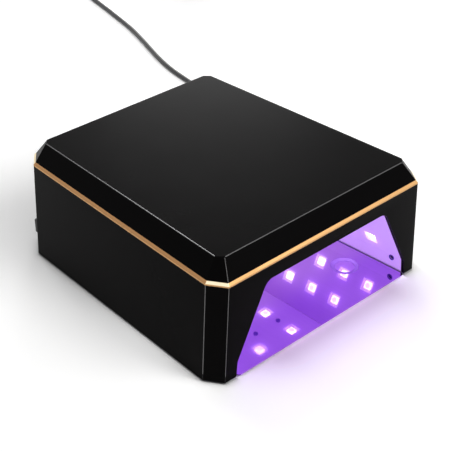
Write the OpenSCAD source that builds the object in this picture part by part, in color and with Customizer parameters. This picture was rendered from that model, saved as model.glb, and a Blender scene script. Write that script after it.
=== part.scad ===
// Mini nail lamp with a slanted hand opening, a sliding tray and a lead with its adapter.
// Millimetres. X to the right, Y to the back, Z up from the surface that the lamp stands on.

/* [Body] */
// Width of the front at the trim band
front_w = 190; // [184:1:206]
// Width of the back at the trim band
back_w = 171; // [166:1:182]
// Depth of the body from front wall to back wall
body_d = 206; // [202:1:230]
// Height of the shell's lower rim above the surface
rim_z = 1.3; // [1.1:0.1:1.8]
// Height of the shell's walls
wall_h = 70; // [69:0.5:80]
// How far each side wall leans out at the bottom
side_flare = 3.2; // [1.5:0.1:5]
// Thickness of the shell's walls
wall_t = 2.4; // [1.8:0.1:2.8]
// Run of the cut corners along the front and back
corner_x = 8.7; // [6:0.1:10]
// Run of the cut corners along the sides
corner_y = 11.9; // [8:0.1:13]
// Radius of the eased upright edges
edge_r = 1.2; // [0.6:0.1:2]

/* [Trim and cover] */
// Height of the trim band
trim_h = 2.6; // [2:0.1:4]
// Height of the trim's upright face
trim_face = 1.1; // [0.6:0.1:1.6]
// Run of the trim's slope, to the foot of the cover
trim_step = 1.5; // [1:0.1:2]
// Width of the trim ring
trim_w = 4; // [3.8:0.1:5]
// Height of the cover above the trim
cover_h = 12.1; // [10:0.1:15]
// Run of the cover's sloping edges
cover_run = 8.6; // [6:0.1:11]
// Run of the cut corners of the cover's flat top
cover_corner = 4.05; // [3:0.05:6]
// Thickness of the cover
cover_t = 2.4; // [1.8:0.1:2.8]

/* [Hand opening] */
// Width of the front face beside the opening, at the bend in its sides
pillar_w = 16; // [15:0.5:19]
// How far each side leans in, from the bend to the top of the opening
mouth_run = 24.5; // [22:0.5:27]
// Height of the front face above the opening
lintel_h = 9.7; // [9:0.1:13]
// Height of the bend in its sides
knee_z = 12.3; // [11.5:0.1:14]
// Spread of each side from the bend down to the rim
foot_spread = 1; // [0.5:0.1:1.5]
// Radius of the opening's upper corners
mouth_r = 8; // [5:0.5:10]
// Depth of the space behind the hand space
rear_d = 38; // [36:1:46]

/* [Reflectors and lights] */
// Thickness of the reflectors
liner_t = 2; // [1.7:0.1:2.4]
// Fall of the ceiling towards the back, in degrees
ceiling_fall = 1.5; // [0.5:0.1:2]
// Side of a square light window
window_w = 9.2; // [8:0.1:10]
// Side of a light package
led_w = 5; // [4:0.1:6]
// Height of a light package
led_h = 1.6; // [1.2:0.1:1.6]
// Thickness of the light boards
board_t = 1.6; // [1:0.1:2]
// Lights in each row of a side wall
side_cols = 5; // [4:1:5]
// Distance of the first side light from the front
side_first = 24.5; // [22:0.5:27]
// Distance of the last side light from the back of the hand space
side_last = 35; // [25:0.5:40]
// Distance of the upper side row down the slope from the ceiling
side_row = 22.3; // [20:0.1:23]
// Step between the two side rows, down the slope
side_row_gap = 21.1; // [19:0.1:22]
// Rows of lights across the ceiling
roof_rows = 4; // [3:1:4]
// Distance of the first ceiling row from the front
roof_first = 59.5; // [50:0.5:62]
// Distance of the rear ceiling screws from the back of the hand space
roof_last = 14; // [10:0.5:16]
// Distance of the outer ceiling lights from the middle
roof_col = 32.5; // [30:0.1:34]
// Diameter of the hand sensor's hole
sensor_d = 3.2; // [3:0.1:3.4]
// Distance of the hand sensor from the front
sensor_y = 10.7; // [9:0.1:13]
// Height of the hand sensor
sensor_z = 10.4; // [8:0.1:10.6]

/* [Floor] */
// Thickness of the bottom cover
floor_t = 2; // [1.6:0.1:2.6]
// Height of the bottom cover's underside
floor_z = 2.3; // [2.3:0.1:2.8]
// Thickness of the tray
tray_t = 0.8; // [0.6:0.1:0.9]
// Gap between the tray and the bottom cover above its rear lip
tray_head = 0.3; // [0.3:0.05:0.4]
// How far the tray stands out past the front wall
tray_lip = 1; // [0.5:0.1:2]
// Gap between the tray and the side walls
tray_gap = 1.2; // [0.8:0.1:1.6]
// How far the tray's rear lip reaches under the bottom cover
tray_tuck = 10; // [9:0.5:12]
// Diameter of the tray's stamped feet
dimple_d = 20; // [16:0.5:22]
// Distance of the stamped feet from the tray's sides
dimple_side = 20.7; // [15:0.1:25]
// Depth of the tray's stamped feet
dimple_h = 0.6; // [0.4:0.05:0.7]
// Diameter of the rubber feet
foot_d = 9; // [7:0.5:9.5]

/* [Switch and jack] */
// Width of the switch's bezel
bezel_w = 15; // [14.8:0.1:16]
// Height of the switch's bezel
bezel_h = 11; // [10.8:0.1:12]
// How far the bezel stands out of the back wall
bezel_t = 2; // [1.6:0.1:2.4]
// Distance of the switch's middle from the end of the back wall
switch_in = 14.2; // [14:0.1:20]
// Height of the switch's and jack's middle
port_z = 11.8; // [11.3:0.1:14]
// Half of the rocker's turn, in degrees
rock_half = 12; // [8:0.5:13]
// Distance of the jack from the lamp's middle
jack_x = 45; // [38:0.5:48]
// Diameter of the jack's threaded barrel
jack_d = 8; // [7.5:0.1:8.5]
// Diameter of the plug's metal sleeve
sleeve_d = 5.5; // [5:0.1:5.6]

/* [Lead] */
// Diameter of the lead
cord_d = 4; // [3:0.1:4]

/* [Adapter] */
// Width of the adapter
adapter_w = 40; // [36:0.5:42]
// Length of the adapter
adapter_l = 66; // [60:0.5:70]
// Height of the adapter
adapter_h = 28; // [24:0.5:34]
// Thickness of the adapter's shell
adapter_wall = 2.2; // [1.6:0.1:2.8]
// Height of the lead where it enters the adapter
adapter_lead_z = 10; // [8:0.5:12]

/* [Hidden] */

// Colours
black_gloss = "#1c1a1b";
gold = "#d9a75f";
white_satin = "#ece8f2";
board_white = "#d8dcd8";
led_glow = "#c9a6ff";
screw_dark = "#2c2a30";
steel = "#b4b6ba";
copper_red = "#b03028";
rubber_black = "#232224";

// Clearances
seat_gap = 0.1;
screw_gap = 0.05;
slide_gap = 0.2;
eps = 0.01;
round_n = 48;

// Body levels and slopes
narrow = (front_w - back_w) / 2 / body_d;
narrow_a = atan(narrow);
rim_top = rim_z + wall_h;
trim_top = rim_top + trim_h;
total_h = trim_top + cover_h;
floor_top = floor_z + floor_t;
tray_z = floor_z - tray_head;

// Hand space
mouth_z = rim_top - lintel_h;
mouth_knee_w = front_w - 2 * pillar_w;
mouth_top_w = mouth_knee_w - 2 * mouth_run;
cavity_d = body_d - rear_d;
side_pitch = (cavity_d - side_last - side_first) / side_cols;
roof_pitch = (cavity_d - roof_last - roof_first) / (roof_rows - 0.5);

// Switch: the rocker's pivot lies behind the bezel's face, and its raised end sets the rear reach
pivot_in = 2.2;
vee_h = 2.8;
switch_body_w = bezel_w - 1;
switch_body_h = bezel_h - 1.2;
switch_wall = 0.55;
switch_x = back_w / 2 - switch_in;
rocker_r = switch_body_w / 2 - switch_wall - slide_gap;
rocker_corner = 90 + rock_half - acos(vee_h * cos(rock_half) / rocker_r);
rear_reach = bezel_t - pivot_in + rocker_r * sin(rocker_corner + rock_half);

// The lamp's box, without its lead, is centred on the origin
front_y = -(body_d + rear_reach - tray_lip) / 2;

// Moves pieces that are drawn from the front wall's outer face to their place
module at_front() translate([0, front_y, 0]) children();

// Draws a piece and its mirror image on the left
module both_sides() {
  children();
  mirror([1, 0, 0]) children();
}

// A side of an outline from corner p to corner q: its outward direction and its distance
function side(p, q) = let (n = [q[1] - p[1], p[0] - q[0]] / norm(q - p)) [n, n * p];
function pushed(s, d) = [s[0], s[1] + d];
function meet(a, b) =
  let (det = a[0][0] * b[0][1] - a[0][1] * b[0][0])
  [(a[1] * b[0][1] - b[1] * a[0][1]) / det, (a[0][0] * b[1] - b[0][0] * a[1]) / det];

// An anticlockwise outline moved outwards by d, each corner eased by an arc of radius r in n steps
function eased(corners, d, r, n = 3) =
  let (
    k = len(corners),
    sides = [for (i = [0:k - 1]) pushed(side(corners[i], corners[(i + 1) % k]), d)]
  )
  [for (i = [0:k - 1])
    let (
      a = sides[(i + k - 1) % k],
      b = sides[i],
      c = meet(pushed(a, -r), pushed(b, -r)),
      a0 = atan2(a[0][1], a[0][0]),
      turn = (atan2(b[0][1], b[0][0]) - a0 + 540) % 360 - 180
    )
    for (j = [0:n]) c + r * [cos(a0 + turn * j / n), sin(a0 + turn * j / n)]];

// Corners of the body's outline for a half width at the front, set in from the walls, with cut corners
function plan(half, inset, cx, cy) =
  let (
    back = body_d - inset,
    s = inset * sqrt(1 + narrow * narrow),
    w0 = half - s - narrow * inset,
    w1 = half - s - narrow * back
  )
  [
    [-w0 + cx, inset], [w0 - cx, inset],
    [w0 - narrow * cy, inset + cy], [w1 + narrow * cy, back - cy],
    [w1 - cx, back], [-w1 + cx, back],
    [-w1 - narrow * cy, back - cy], [-w0 + narrow * cy, inset + cy]
  ];
function half_at(z) = front_w / 2 + side_flare * (1 - (z - rim_z) / wall_h);
function wall_outline(z, inset, r = edge_r) = eased(plan(half_at(z), 0, corner_x, corner_y), -inset, r);
function raised(outline, z) = [for (p = outline) [p[0], p[1], z]];
function blend(a, b, t) = [for (i = [0:len(a) - 1]) a[i] * (1 - t) + b[i] * t];

// A closed solid through rings of points, each anticlockwise as seen from the last ring's side
module loft(rings) {
  n = len(rings[0]);
  m = len(rings);
  points = [for (ring = rings) for (p = ring) p];
  walls = [for (k = [0:m - 2]) for (i = [0:n - 1])
    let (j = (i + 1) % n, a = k * n, b = a + n)
    for (f = [[b + i, b + j, a + i], [b + j, a + j, a + i]]) f];
  polyhedron(points, concat([[for (i = [0:n - 1]) i]], walls, [[for (i = [n - 1:-1:0]) (m - 1) * n + i]]));
}

// Inner side walls of the hand space: half width at a distance from the front and a height
mouth_foot_slope = foot_spread / (knee_z - rim_z);
mouth_slope = mouth_run / (mouth_z - knee_z);
ceiling_slope = tan(ceiling_fall);
ceiling_z0 = mouth_z - seat_gap;
knee_r = 4.5;
function ceiling_at(y) = ceiling_z0 - ceiling_slope * y;
function inner_x(y, z) = mouth_knee_w / 2 - narrow * y
  + (z > knee_z ? -(z - knee_z) * mouth_slope : (knee_z - z) * mouth_foot_slope);

// Slanted wall frame: X runs down the slope from the ceiling, Y to the back, Z outwards
wall_a = atan(mouth_slope * cos(narrow_a));
slope_l = (ceiling_z0 - knee_z) / cos(wall_a);
module on_wall() {
  translate([inner_x(0, ceiling_z0), 0, ceiling_z0]) rotate([0, 90 - wall_a, narrow_a]) children();
}
// Ceiling frame: Z = 0 on the ceiling's visible face
module in_ceiling() translate([0, 0, ceiling_z0]) rotate([-ceiling_fall, 0, 0]) children();

side_rows = [for (k = [0:1]) side_row + k * side_row_gap];
// Each light's place on a side wall: down the slope, and back from the front
side_spots = [for (k = [0:1]) for (i = [0:side_cols - 1])
  [side_rows[k], side_first + (i + 1 - k) * side_pitch]];
roof_spots = [for (x = [-roof_col, 0, roof_col]) for (i = [0:roof_rows - 1])
  [x, roof_first + i * roof_pitch]];

// Screws in the ceiling lie half a step away from the rows of lights
roof_screw_d = 2;
roof_head_d = 3.4;
roof_head_h = 1;
spacer_x = 9.2;
boss_x = roof_col - 0.5;
boss_d = 6;
boss_grip = 8;
screw_row_1 = roof_first + roof_pitch / 2;
screw_row_2 = cavity_d - roof_last;
boss_spots = [for (x = [-boss_x, boss_x]) for (y = [screw_row_1, screw_row_2]) [x, y]];
spacer_h = 6;
spacer_d = 5;
boards_top = liner_t + board_t;
control_base = boards_top + spacer_h;
control_w = 50;
control_d = 70;
control_margin = 12;
control_y = screw_row_1 - control_margin;
spacer_row_2 = control_y + control_d - control_margin - 1;
spacer_spots = [for (x = [-spacer_x, spacer_x]) for (y = [screw_row_1, spacer_row_2]) [x, y]];

// Bottom cover screws and their bosses
floor_boss_d = 6.4;
floor_boss_h = 20;
floor_grip = 15;
floor_screw_d = 3;
floor_head_d = 5.2;
floor_head_h = 0.9;
function shell_inner_x(y, z) = half_at(z) - wall_t - narrow * y;
function strip_mid(y) = (shell_inner_x(y, floor_z) + inner_x(y, floor_z) + liner_t) / 2;
boss_rows = [42, body_d - 22];
floor_boss_spots = [for (y = boss_rows) [strip_mid(y) + 1, y]];
foot_rows = [20, body_d - 9 - corner_y];
foot_spots = [[strip_mid(foot_rows[0]), foot_rows[0]], [strip_mid(foot_rows[1]) - 6, foot_rows[1]]];

// Stamped feet of the tray, and its half width at a distance from the front
dimple_rows = [33.7, cavity_d - 30];
function tray_half(y) = inner_x(y, tray_z) - tray_gap;
dimple_spots = [for (y = dimple_rows) [tray_half(y) - dimple_side, y]];
pad_d = dimple_d - 5;
magnet_x = 35;
magnet_w = 12;
magnet_l = 5;
tray_end = cavity_d + tray_tuck;

module body_shell() {
  color(black_gloss) at_front() {
    difference() {
      loft([for (z = [rim_z, rim_top]) raised(wall_outline(z, 0), z)]);
      loft([for (z = [rim_z - 1, rim_top + 1]) raised(wall_outline(z, wall_t), z)]);
      hand_opening();
      port_cuts();
    }
    floor_bosses();
  }
}

// Corners of the hand opening, anticlockwise as seen from the front
mouth_low = mouth_knee_w / 2 + mouth_foot_slope * (knee_z + 5);
mouth_corners = [
  [-mouth_low, -5], [mouth_low, -5], [mouth_knee_w / 2, knee_z],
  [mouth_top_w / 2, mouth_z], [-mouth_top_w / 2, mouth_z], [-mouth_knee_w / 2, knee_z]
];
module hand_opening() {
  small = eased(mouth_corners, 0, knee_r, 5);
  large = eased(mouth_corners, 0, mouth_r, 5);
  steps = 6;
  outline = concat([for (i = [0:3 * steps - 1]) small[i]], [for (i = [3 * steps:5 * steps - 1]) large[i]],
    [for (i = [5 * steps:6 * steps - 1]) small[i]]);
  translate([0, wall_t + 1, 0]) rotate([90, 0, 0]) linear_extrude(wall_t + 2) polygon(outline);
}

// Holes in the back wall for the switch body and the jack's barrel
module port_cuts() {
  translate([-switch_x, body_d, port_z])
    cube([switch_body_w + 2 * seat_gap, 4 * wall_t, switch_body_h + 2 * seat_gap], center = true);
  translate([jack_x, body_d + 1, port_z]) rotate([90, 0, 0])
    cylinder(d = jack_d + 2 * screw_gap, h = wall_t + 2, $fn = round_n);
}

module floor_bosses() {
  rib_t = 2.4;
  for (p = floor_boss_spots) both_sides() difference() {
    union() {
      translate([p[0], p[1], floor_top]) cylinder(d = floor_boss_d, h = floor_boss_h, $fn = round_n);
      translate([p[0], p[1] - rib_t / 2, floor_top])
        cube([shell_inner_x(p[1], floor_top + floor_boss_h) + wall_t / 2 - p[0], rib_t, floor_boss_h]);
    }
    translate([p[0], p[1], floor_top - 1])
      cylinder(d = floor_screw_d + 2 * screw_gap, h = floor_grip + 2, $fn = round_n);
  }
}

module gold_trim() {
  lip_h = 2;
  color(gold) at_front() {
    difference() {
      loft([
        raised(wall_outline(rim_top, 0), rim_top),
        raised(wall_outline(rim_top, 0), rim_top + trim_face),
        raised(wall_outline(rim_top, trim_step), trim_top)
      ]);
      loft([for (z = [rim_top - 1, trim_top + 1]) raised(wall_outline(rim_top, trim_w, 0.5), z)]);
    }
    difference() {
      loft([for (z = [rim_top - lip_h, rim_top]) raised(wall_outline(rim_top, wall_t + seat_gap, 0.5), z)]);
      loft([for (z = [rim_top - lip_h - 1, rim_top + 1]) raised(wall_outline(rim_top, trim_w, 0.5), z)]);
    }
  }
}

// The cover's outlines at its foot and at its flat top, and the one between them at a given run
cover_foot = eased(plan(front_w / 2, 0, corner_x, corner_y), -trim_step, edge_r);
cover_lid = eased(plan(front_w / 2, trim_step + cover_run, cover_corner, cover_corner), 0, edge_r);
cover_a = atan(cover_h / cover_run);
function cover_ring(run, z) = raised(blend(cover_foot, cover_lid, run / cover_run), z);
module cover_outside() {
  tangent = edge_r * tan(cover_a / 2);
  loft(concat(
    [cover_ring(0, trim_top)],
    [for (j = [0:3]) let (f = cover_a * (1 - j / 3))
      cover_ring(cover_run + tangent - edge_r * sin(f), total_h - edge_r * (1 - cos(f)))]
  ));
}
cover_side_t = cover_t / sin(cover_a);
module cover_inside() {
  low = -0.5;
  high = total_h - cover_t;
  loft([cover_ring(cover_side_t + low / tan(cover_a), trim_top + low),
    cover_ring(cover_side_t + (high - trim_top) / tan(cover_a), high)]);
}

module top_cover() {
  skirt_t = 1.5;
  skirt_low = 3;
  skirt_in = trim_w + seat_gap;
  color(black_gloss) at_front() {
    difference() {
      cover_outside();
      cover_inside();
    }
    intersection() {
      difference() {
        loft([for (z = [trim_top - skirt_low, trim_top + 4])
          raised(wall_outline(rim_top, skirt_in, 0.4), z)]);
        loft([for (z = [trim_top - skirt_low - 1, trim_top + 5])
          raised(wall_outline(rim_top, skirt_in + skirt_t, 0.4), z)]);
      }
      union() {
        cover_outside();
        translate([-front_w, -eps, trim_top - skirt_low]) cube([2 * front_w, body_d, skirt_low + eps]);
      }
    }
    difference() {
      in_ceiling() for (p = boss_spots) translate([p[0], p[1], boards_top])
        cylinder(d = boss_d, h = total_h, $fn = round_n);
      translate([-front_w, 0, total_h - cover_t / 2]) cube([2 * front_w, body_d, 2 * total_h]);
      in_ceiling() for (p = boss_spots) translate([p[0], p[1], boards_top - 1])
        cylinder(d = roof_screw_d + 2 * screw_gap, h = boss_grip + 4, $fn = round_n);
    }
  }
}

// A reflector plate in the ceiling frame, with its light windows and screw holes
module ceiling_reflector() {
  y0 = wall_t + seat_gap;
  edge = seat_gap;
  color(white_satin) at_front() in_ceiling() difference() {
    linear_extrude(liner_t) polygon([
      [-inner_x(y0, ceiling_at(y0)) + edge, y0], [inner_x(y0, ceiling_at(y0)) - edge, y0],
      [inner_x(cavity_d, ceiling_at(cavity_d)) - edge, cavity_d],
      [-inner_x(cavity_d, ceiling_at(cavity_d)) + edge, cavity_d]
    ]);
    for (p = roof_spots) translate([p[0], p[1], 0]) cube([window_w, window_w, 4 * liner_t], center = true);
    for (p = concat(boss_spots, spacer_spots)) translate([p[0], p[1], -1])
      cylinder(d = roof_screw_d + 2 * screw_gap, h = liner_t + 2, $fn = round_n);
  }
}

// Side reflector: a bent section with its flange, drawn along the wall and cut at the front, back and ceiling
liner_foot_z = rim_z + 0.3;
flange_w = 2;
lip_a = atan(mouth_foot_slope * cos(narrow_a));
top_turn = atan(ceiling_slope / cos(wall_a)
  / (1 / cos(narrow_a) - mouth_slope * ceiling_slope * sin(narrow_a)));
pin_d = 2;
pin_rows = [side_first + side_pitch / 2, side_first + side_pitch * (side_cols - 0.5)];
pin_v = side_row + side_row_gap / 2;

function liner_u(z) = inner_x(0, z) * cos(narrow_a);
function lip_u(z) = liner_u(z) + liner_t / cos(lip_a);
module liner_prism() {
  n1 = [cos(wall_a), sin(wall_a)];
  n2 = [cos(lip_a), -sin(lip_a)];
  top_z = ceiling_z0 + 2 * liner_t;
  a = [liner_u(top_z), top_z];
  b = [liner_u(knee_z), knee_z];
  flange_x = lip_u(floor_top) + flange_w;
  flange_z = floor_top + liner_t;
  past = 2 * liner_t + corner_y;
  rotate(narrow_a) translate([0, cavity_d + past, 0]) rotate([90, 0, 0]) linear_extrude(cavity_d + 2 * past)
    polygon([
      a, b, [liner_u(liner_foot_z), liner_foot_z], [lip_u(liner_foot_z), liner_foot_z],
      [lip_u(floor_top), floor_top], [flange_x, floor_top], [flange_x, flange_z], [lip_u(flange_z), flange_z],
      b + liner_t * (n1 + n2) / (1 + n1 * n2), a + liner_t * n1
    ]);
}
module right_reflector_shape() {
  y0 = wall_t + seat_gap;
  difference() {
    union() {
      intersection() {
        liner_prism();
        translate([0, y0, 0]) cube([front_w, cavity_d - y0, total_h]);
      }
      on_wall() for (y = pin_rows) translate([pin_v, y, liner_t / 2])
        cylinder(d = pin_d, h = liner_t / 2 + board_t + 0.8, $fn = round_n);
    }
    on_wall() rotate(-top_turn) translate([-front_w, -front_w, -front_w])
      cube([front_w, 3 * front_w, 2 * front_w]);
    on_wall() for (p = side_spots) translate([p[0], p[1], 0])
      cube([window_w, window_w, 4 * liner_t], center = true);
    translate([inner_x(sensor_y, sensor_z) - 3, sensor_y, sensor_z]) rotate([0, 90, 0])
      cylinder(d = sensor_d, h = 8, $fn = round_n);
  }
}
module right_reflector() color(white_satin) at_front() right_reflector_shape();
module left_reflector() color(white_satin) at_front() mirror([1, 0, 0]) right_reflector_shape();

module back_reflector() {
  y = cavity_d + seat_gap;
  top = ceiling_at(cavity_d) + boards_top - 0.5;
  low = inner_x(y, floor_top) + 1;
  color(white_satin) at_front() translate([0, y + liner_t, 0]) rotate([90, 0, 0]) linear_extrude(liner_t)
    polygon([
      [-low, floor_top], [low, floor_top], [inner_x(y, knee_z) + 1, knee_z],
      [inner_x(y, ceiling_at(y)) + 1, top], [-inner_x(y, ceiling_at(y)) - 1, top],
      [-inner_x(y, knee_z) - 1, knee_z]
    ]);
}

module ceiling_board() {
  half = roof_col + window_w / 2 + 4;
  y0 = roof_first - window_w;
  color(board_white) at_front() in_ceiling() difference() {
    translate([-half, y0, liner_t]) cube([2 * half, screw_row_2 + boss_d - y0, board_t]);
    for (p = concat(boss_spots, spacer_spots)) translate([p[0], p[1], 0])
      cylinder(d = roof_screw_d + 2 * screw_gap, h = liner_t + board_t + 1, $fn = round_n);
  }
}

module right_board_shape() {
  x0 = side_row - window_w;
  x1 = slope_l - 2.2;
  y0 = side_first - window_w;
  y1 = side_first + side_cols * side_pitch + window_w;
  on_wall() difference() {
    translate([x0, y0, liner_t]) cube([x1 - x0, y1 - y0, board_t]);
    for (y = pin_rows) translate([pin_v, y, 0])
      cylinder(d = pin_d + 2 * seat_gap, h = liner_t + board_t + 1, $fn = round_n);
  }
}
module right_board() color(board_white) at_front() right_board_shape();
module left_board() color(board_white) at_front() mirror([1, 0, 0]) right_board_shape();

// A light package that faces down its own Z axis, with a round well
module light_package() {
  well_d = led_w * 0.8;
  difference() {
    translate([-led_w / 2, -led_w / 2, -led_h]) cube([led_w, led_w, led_h]);
    translate([0, 0, -led_h - 1]) cylinder(d = well_d, h = 1.3, $fn = 32);
  }
}
module ceiling_leds() {
  color(led_glow) at_front() in_ceiling() for (p = roof_spots) translate([p[0], p[1], liner_t])
    light_package();
}
module right_leds_shape() on_wall() for (p = side_spots) translate([p[0], p[1], liner_t]) light_package();
module right_leds() color(led_glow) at_front() right_leds_shape();
module left_leds() color(led_glow) at_front() mirror([1, 0, 0]) right_leds_shape();

// A pan head screw whose head's seat lies at Z = 0, with its shank upwards
module pan_screw(d, l, head_d, head_h) {
  cross_w = head_d * 0.16;
  difference() {
    union() {
      translate([0, 0, -head_h]) cylinder(d = head_d, h = head_h, $fn = round_n);
      cylinder(d = d, h = l, $fn = round_n);
    }
    for (a = [0, 90]) rotate(a)
      translate([-head_d * 0.3, -cross_w / 2, -head_h - 1]) cube([head_d * 0.6, cross_w, head_h * 0.6 + 1]);
  }
}
module ceiling_screws() {
  color(screw_dark) at_front() in_ceiling() for (p = boss_spots)
    translate([p[0], p[1], 0]) pan_screw(roof_screw_d, boards_top + boss_grip, roof_head_d, roof_head_h);
}
module board_screws() {
  color(screw_dark) at_front() in_ceiling() for (p = spacer_spots)
    translate([p[0], p[1], 0]) pan_screw(roof_screw_d, control_base + board_t + 1, roof_head_d, roof_head_h);
}
module board_spacers() {
  color("#c9a24a") at_front() in_ceiling() for (p = spacer_spots) translate([p[0], p[1], boards_top])
    difference() {
      cylinder(d = spacer_d, h = spacer_h, $fn = 6);
      translate([0, 0, -1]) cylinder(d = roof_screw_d + 2 * screw_gap, h = spacer_h + 2, $fn = round_n);
    }
}
module control_board() {
  color("#1f6b3a") at_front() in_ceiling() difference() {
    translate([-control_w / 2, control_y, control_base]) cube([control_w, control_d, board_t]);
    for (p = spacer_spots) translate([p[0], p[1], control_base - 1])
      cylinder(d = roof_screw_d + 2 * screw_gap, h = board_t + 2, $fn = round_n);
  }
}

// Parts on the control board: each box is [x, y, width, depth, height]
cap_y = control_d - 20;
control_boxes = [
  [-3, 34, 6, 5, 1.6], [8, 28, 7, 6.5, 2.3], [8, cap_y - 2, 7, 6.5, 2.3], [-16, 26, 10, 10, 4],
  [-21, 8, 6, 9, 5.5], [19, 8, 6, 9, 5.5], [-4, cap_y + 11, 9, 6, 5.5]
];
module control_parts() {
  cap_d = 6.3;
  cap_h = 7;
  color("#3a3d42") at_front() in_ceiling() translate([0, control_y, control_base + board_t]) {
    for (b = control_boxes) translate([b[0] - b[2] / 2, b[1], 0]) cube([b[2], b[3], b[4]]);
    for (x = [-17, -9]) translate([x, cap_y, 0]) cylinder(d = cap_d, h = cap_h, $fn = 32);
  }
}

// Hand sensor parts: a domed lens in the wall's hole with its collar behind the wall
module sensor(x_out) {
  collar_d = sensor_d + 1.4;
  translate([x_out, sensor_y, sensor_z]) rotate([0, 90, 0]) {
    translate([0, 0, seat_gap]) cylinder(d = collar_d, h = 2, $fn = 32);
    translate([0, 0, -liner_t + 0.3]) cylinder(d = sensor_d - 2 * seat_gap, h = liner_t, $fn = 32);
  }
}
sensor_x = inner_x(sensor_y - sensor_d, sensor_z - sensor_d) + liner_t / cos(lip_a) / cos(narrow_a);
module sensor_emitter() color("#5a4a66") at_front() sensor(sensor_x);
module sensor_receiver() color("#1a1720") at_front() mirror([1, 0, 0]) sensor(sensor_x);

module bottom_cover() {
  side_gap = 0.3;
  color(black_gloss) at_front() difference() {
    translate([0, 0, floor_z]) linear_extrude(floor_t) polygon(wall_outline(floor_z, wall_t + side_gap, 0.5));
    translate([0, 0, floor_z - 1]) linear_extrude(floor_t + 2) polygon([
      [-inner_x(-1, floor_z) - liner_t - side_gap, -1], [inner_x(-1, floor_z) + liner_t + side_gap, -1],
      [inner_x(cavity_d, floor_z) + liner_t + side_gap, cavity_d],
      [-inner_x(cavity_d, floor_z) - liner_t - side_gap, cavity_d]
    ]);
    for (p = floor_boss_spots) both_sides() translate([p[0], p[1], floor_z - 1])
      cylinder(d = floor_screw_d + 2 * screw_gap, h = floor_t + 2, $fn = round_n);
    for (x = [-magnet_x, magnet_x])
      translate([x - magnet_w / 2 - seat_gap, cavity_d + 3, floor_z - 1])
        cube([magnet_w + 2 * seat_gap, magnet_l + 2 * seat_gap, floor_t + 2]);
  }
}
module cover_screws() {
  color(screw_dark) at_front() for (p = floor_boss_spots) both_sides() translate([p[0], p[1], floor_z])
    pan_screw(floor_screw_d, floor_t + floor_grip, floor_head_d, floor_head_h);
}
module feet() {
  color(rubber_black) at_front() for (p = foot_spots) both_sides() translate([p[0], p[1], 0])
    cylinder(d = foot_d, h = floor_z, $fn = round_n);
}
module tray_magnets() {
  color(steel) at_front() for (x = [-magnet_x, magnet_x])
    translate([x - magnet_w / 2, cavity_d + 3 + seat_gap, floor_z]) cube([magnet_w, magnet_l, floor_t]);
}

module tray() {
  low = tray_z - tray_t;
  corner = 1.6;
  outline = [
    [-tray_half(-tray_lip), -tray_lip], [tray_half(-tray_lip), -tray_lip],
    [tray_half(tray_end), tray_end], [-tray_half(tray_end), tray_end]
  ];
  color(steel) at_front() {
    difference() {
      translate([0, 0, low]) linear_extrude(tray_t) polygon(eased(outline, 0, corner, 4));
      for (p = dimple_spots) both_sides() translate([p[0], p[1], low - 1])
        cylinder(d = dimple_d - eps, h = tray_t + 2, $fn = round_n);
    }
    for (p = dimple_spots) both_sides() translate([p[0], p[1], low]) dimple();
  }
}
// A stamped foot: a shallow dish pressed down out of the plate
module dimple() {
  r = dimple_d / 2;
  rotate_extrude($fn = round_n) polygon([
    [0, -dimple_h], [r - 3, -dimple_h], [r - 1.6, -dimple_h * 0.85], [r - 0.6, -dimple_h * 0.15], [r, 0],
    [r, tray_t], [r - 0.9, tray_t - dimple_h * 0.15], [r - 1.9, tray_t - dimple_h * 0.85],
    [r - 3.2, tray_t - dimple_h], [0, tray_t - dimple_h]
  ]);
}
module tray_pads() {
  color(rubber_black) at_front() for (p = dimple_spots) both_sides() translate([p[0], p[1], 0])
    cylinder(d = pad_d, h = tray_z - tray_t - dimple_h, $fn = round_n);
}

// Switch frame: the origin on the rocker's pivot, Y out of the back wall
pivot_y = body_d + bezel_t - pivot_in;
pivot_d = 1.6;
switch_body_d = 10.5;
rocker_h = switch_body_h - 2.2;
module in_switch() translate([-switch_x, pivot_y, port_z]) children();
module switch_housing() {
  chamfer = 0.5;
  well_w = 2 * (rocker_r + slide_gap);
  well_h = rocker_h + 2 * slide_gap;
  color(black_gloss) at_front() in_switch() difference() {
    union() {
      translate([0, pivot_in, 0]) rotate([90, 0, 0]) hull() {
        translate([0, 0, chamfer]) linear_extrude(bezel_t - chamfer)
          square([bezel_w, bezel_h], center = true);
        linear_extrude(bezel_t) square([bezel_w - 2 * chamfer, bezel_h - 2 * chamfer], center = true);
      }
      translate([0, pivot_in - bezel_t - switch_body_d / 2 + eps, 0])
        cube([switch_body_w, switch_body_d, switch_body_h], center = true);
    }
    translate([-well_w / 2, -rocker_r, -well_h / 2]) cube([well_w, 2 * rocker_r, well_h]);
    cylinder(d = pivot_d + 2 * screw_gap, h = 2 * bezel_h, center = true, $fn = round_n);
  }
}
module switch_rocker() {
  low = -3;
  far = 2 * rocker_r;
  pin_l = rocker_h / 2 + slide_gap + 0.8;
  color(rubber_black) at_front() in_switch() rotate(-rock_half) {
    translate([0, 0, -rocker_h / 2]) linear_extrude(rocker_h) intersection() {
      circle(r = rocker_r, $fn = 96);
      polygon([[-far, low], [far, low], [far, vee_h + far * tan(rock_half)], [0, vee_h],
        [-far, vee_h + far * tan(rock_half)]]);
    }
    translate([0, 0, -pin_l]) cylinder(d = pivot_d, h = 2 * pin_l, $fn = round_n);
  }
}
terminal_x = 4;
terminal_y = pivot_in - bezel_t - switch_body_d;
module switch_terminals() {
  color("#c8a468") at_front() in_switch() for (x = [-terminal_x, terminal_x])
    translate([x - 0.4, terminal_y - 5, -1.5]) cube([0.8, 5 + eps, 3]);
}

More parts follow.
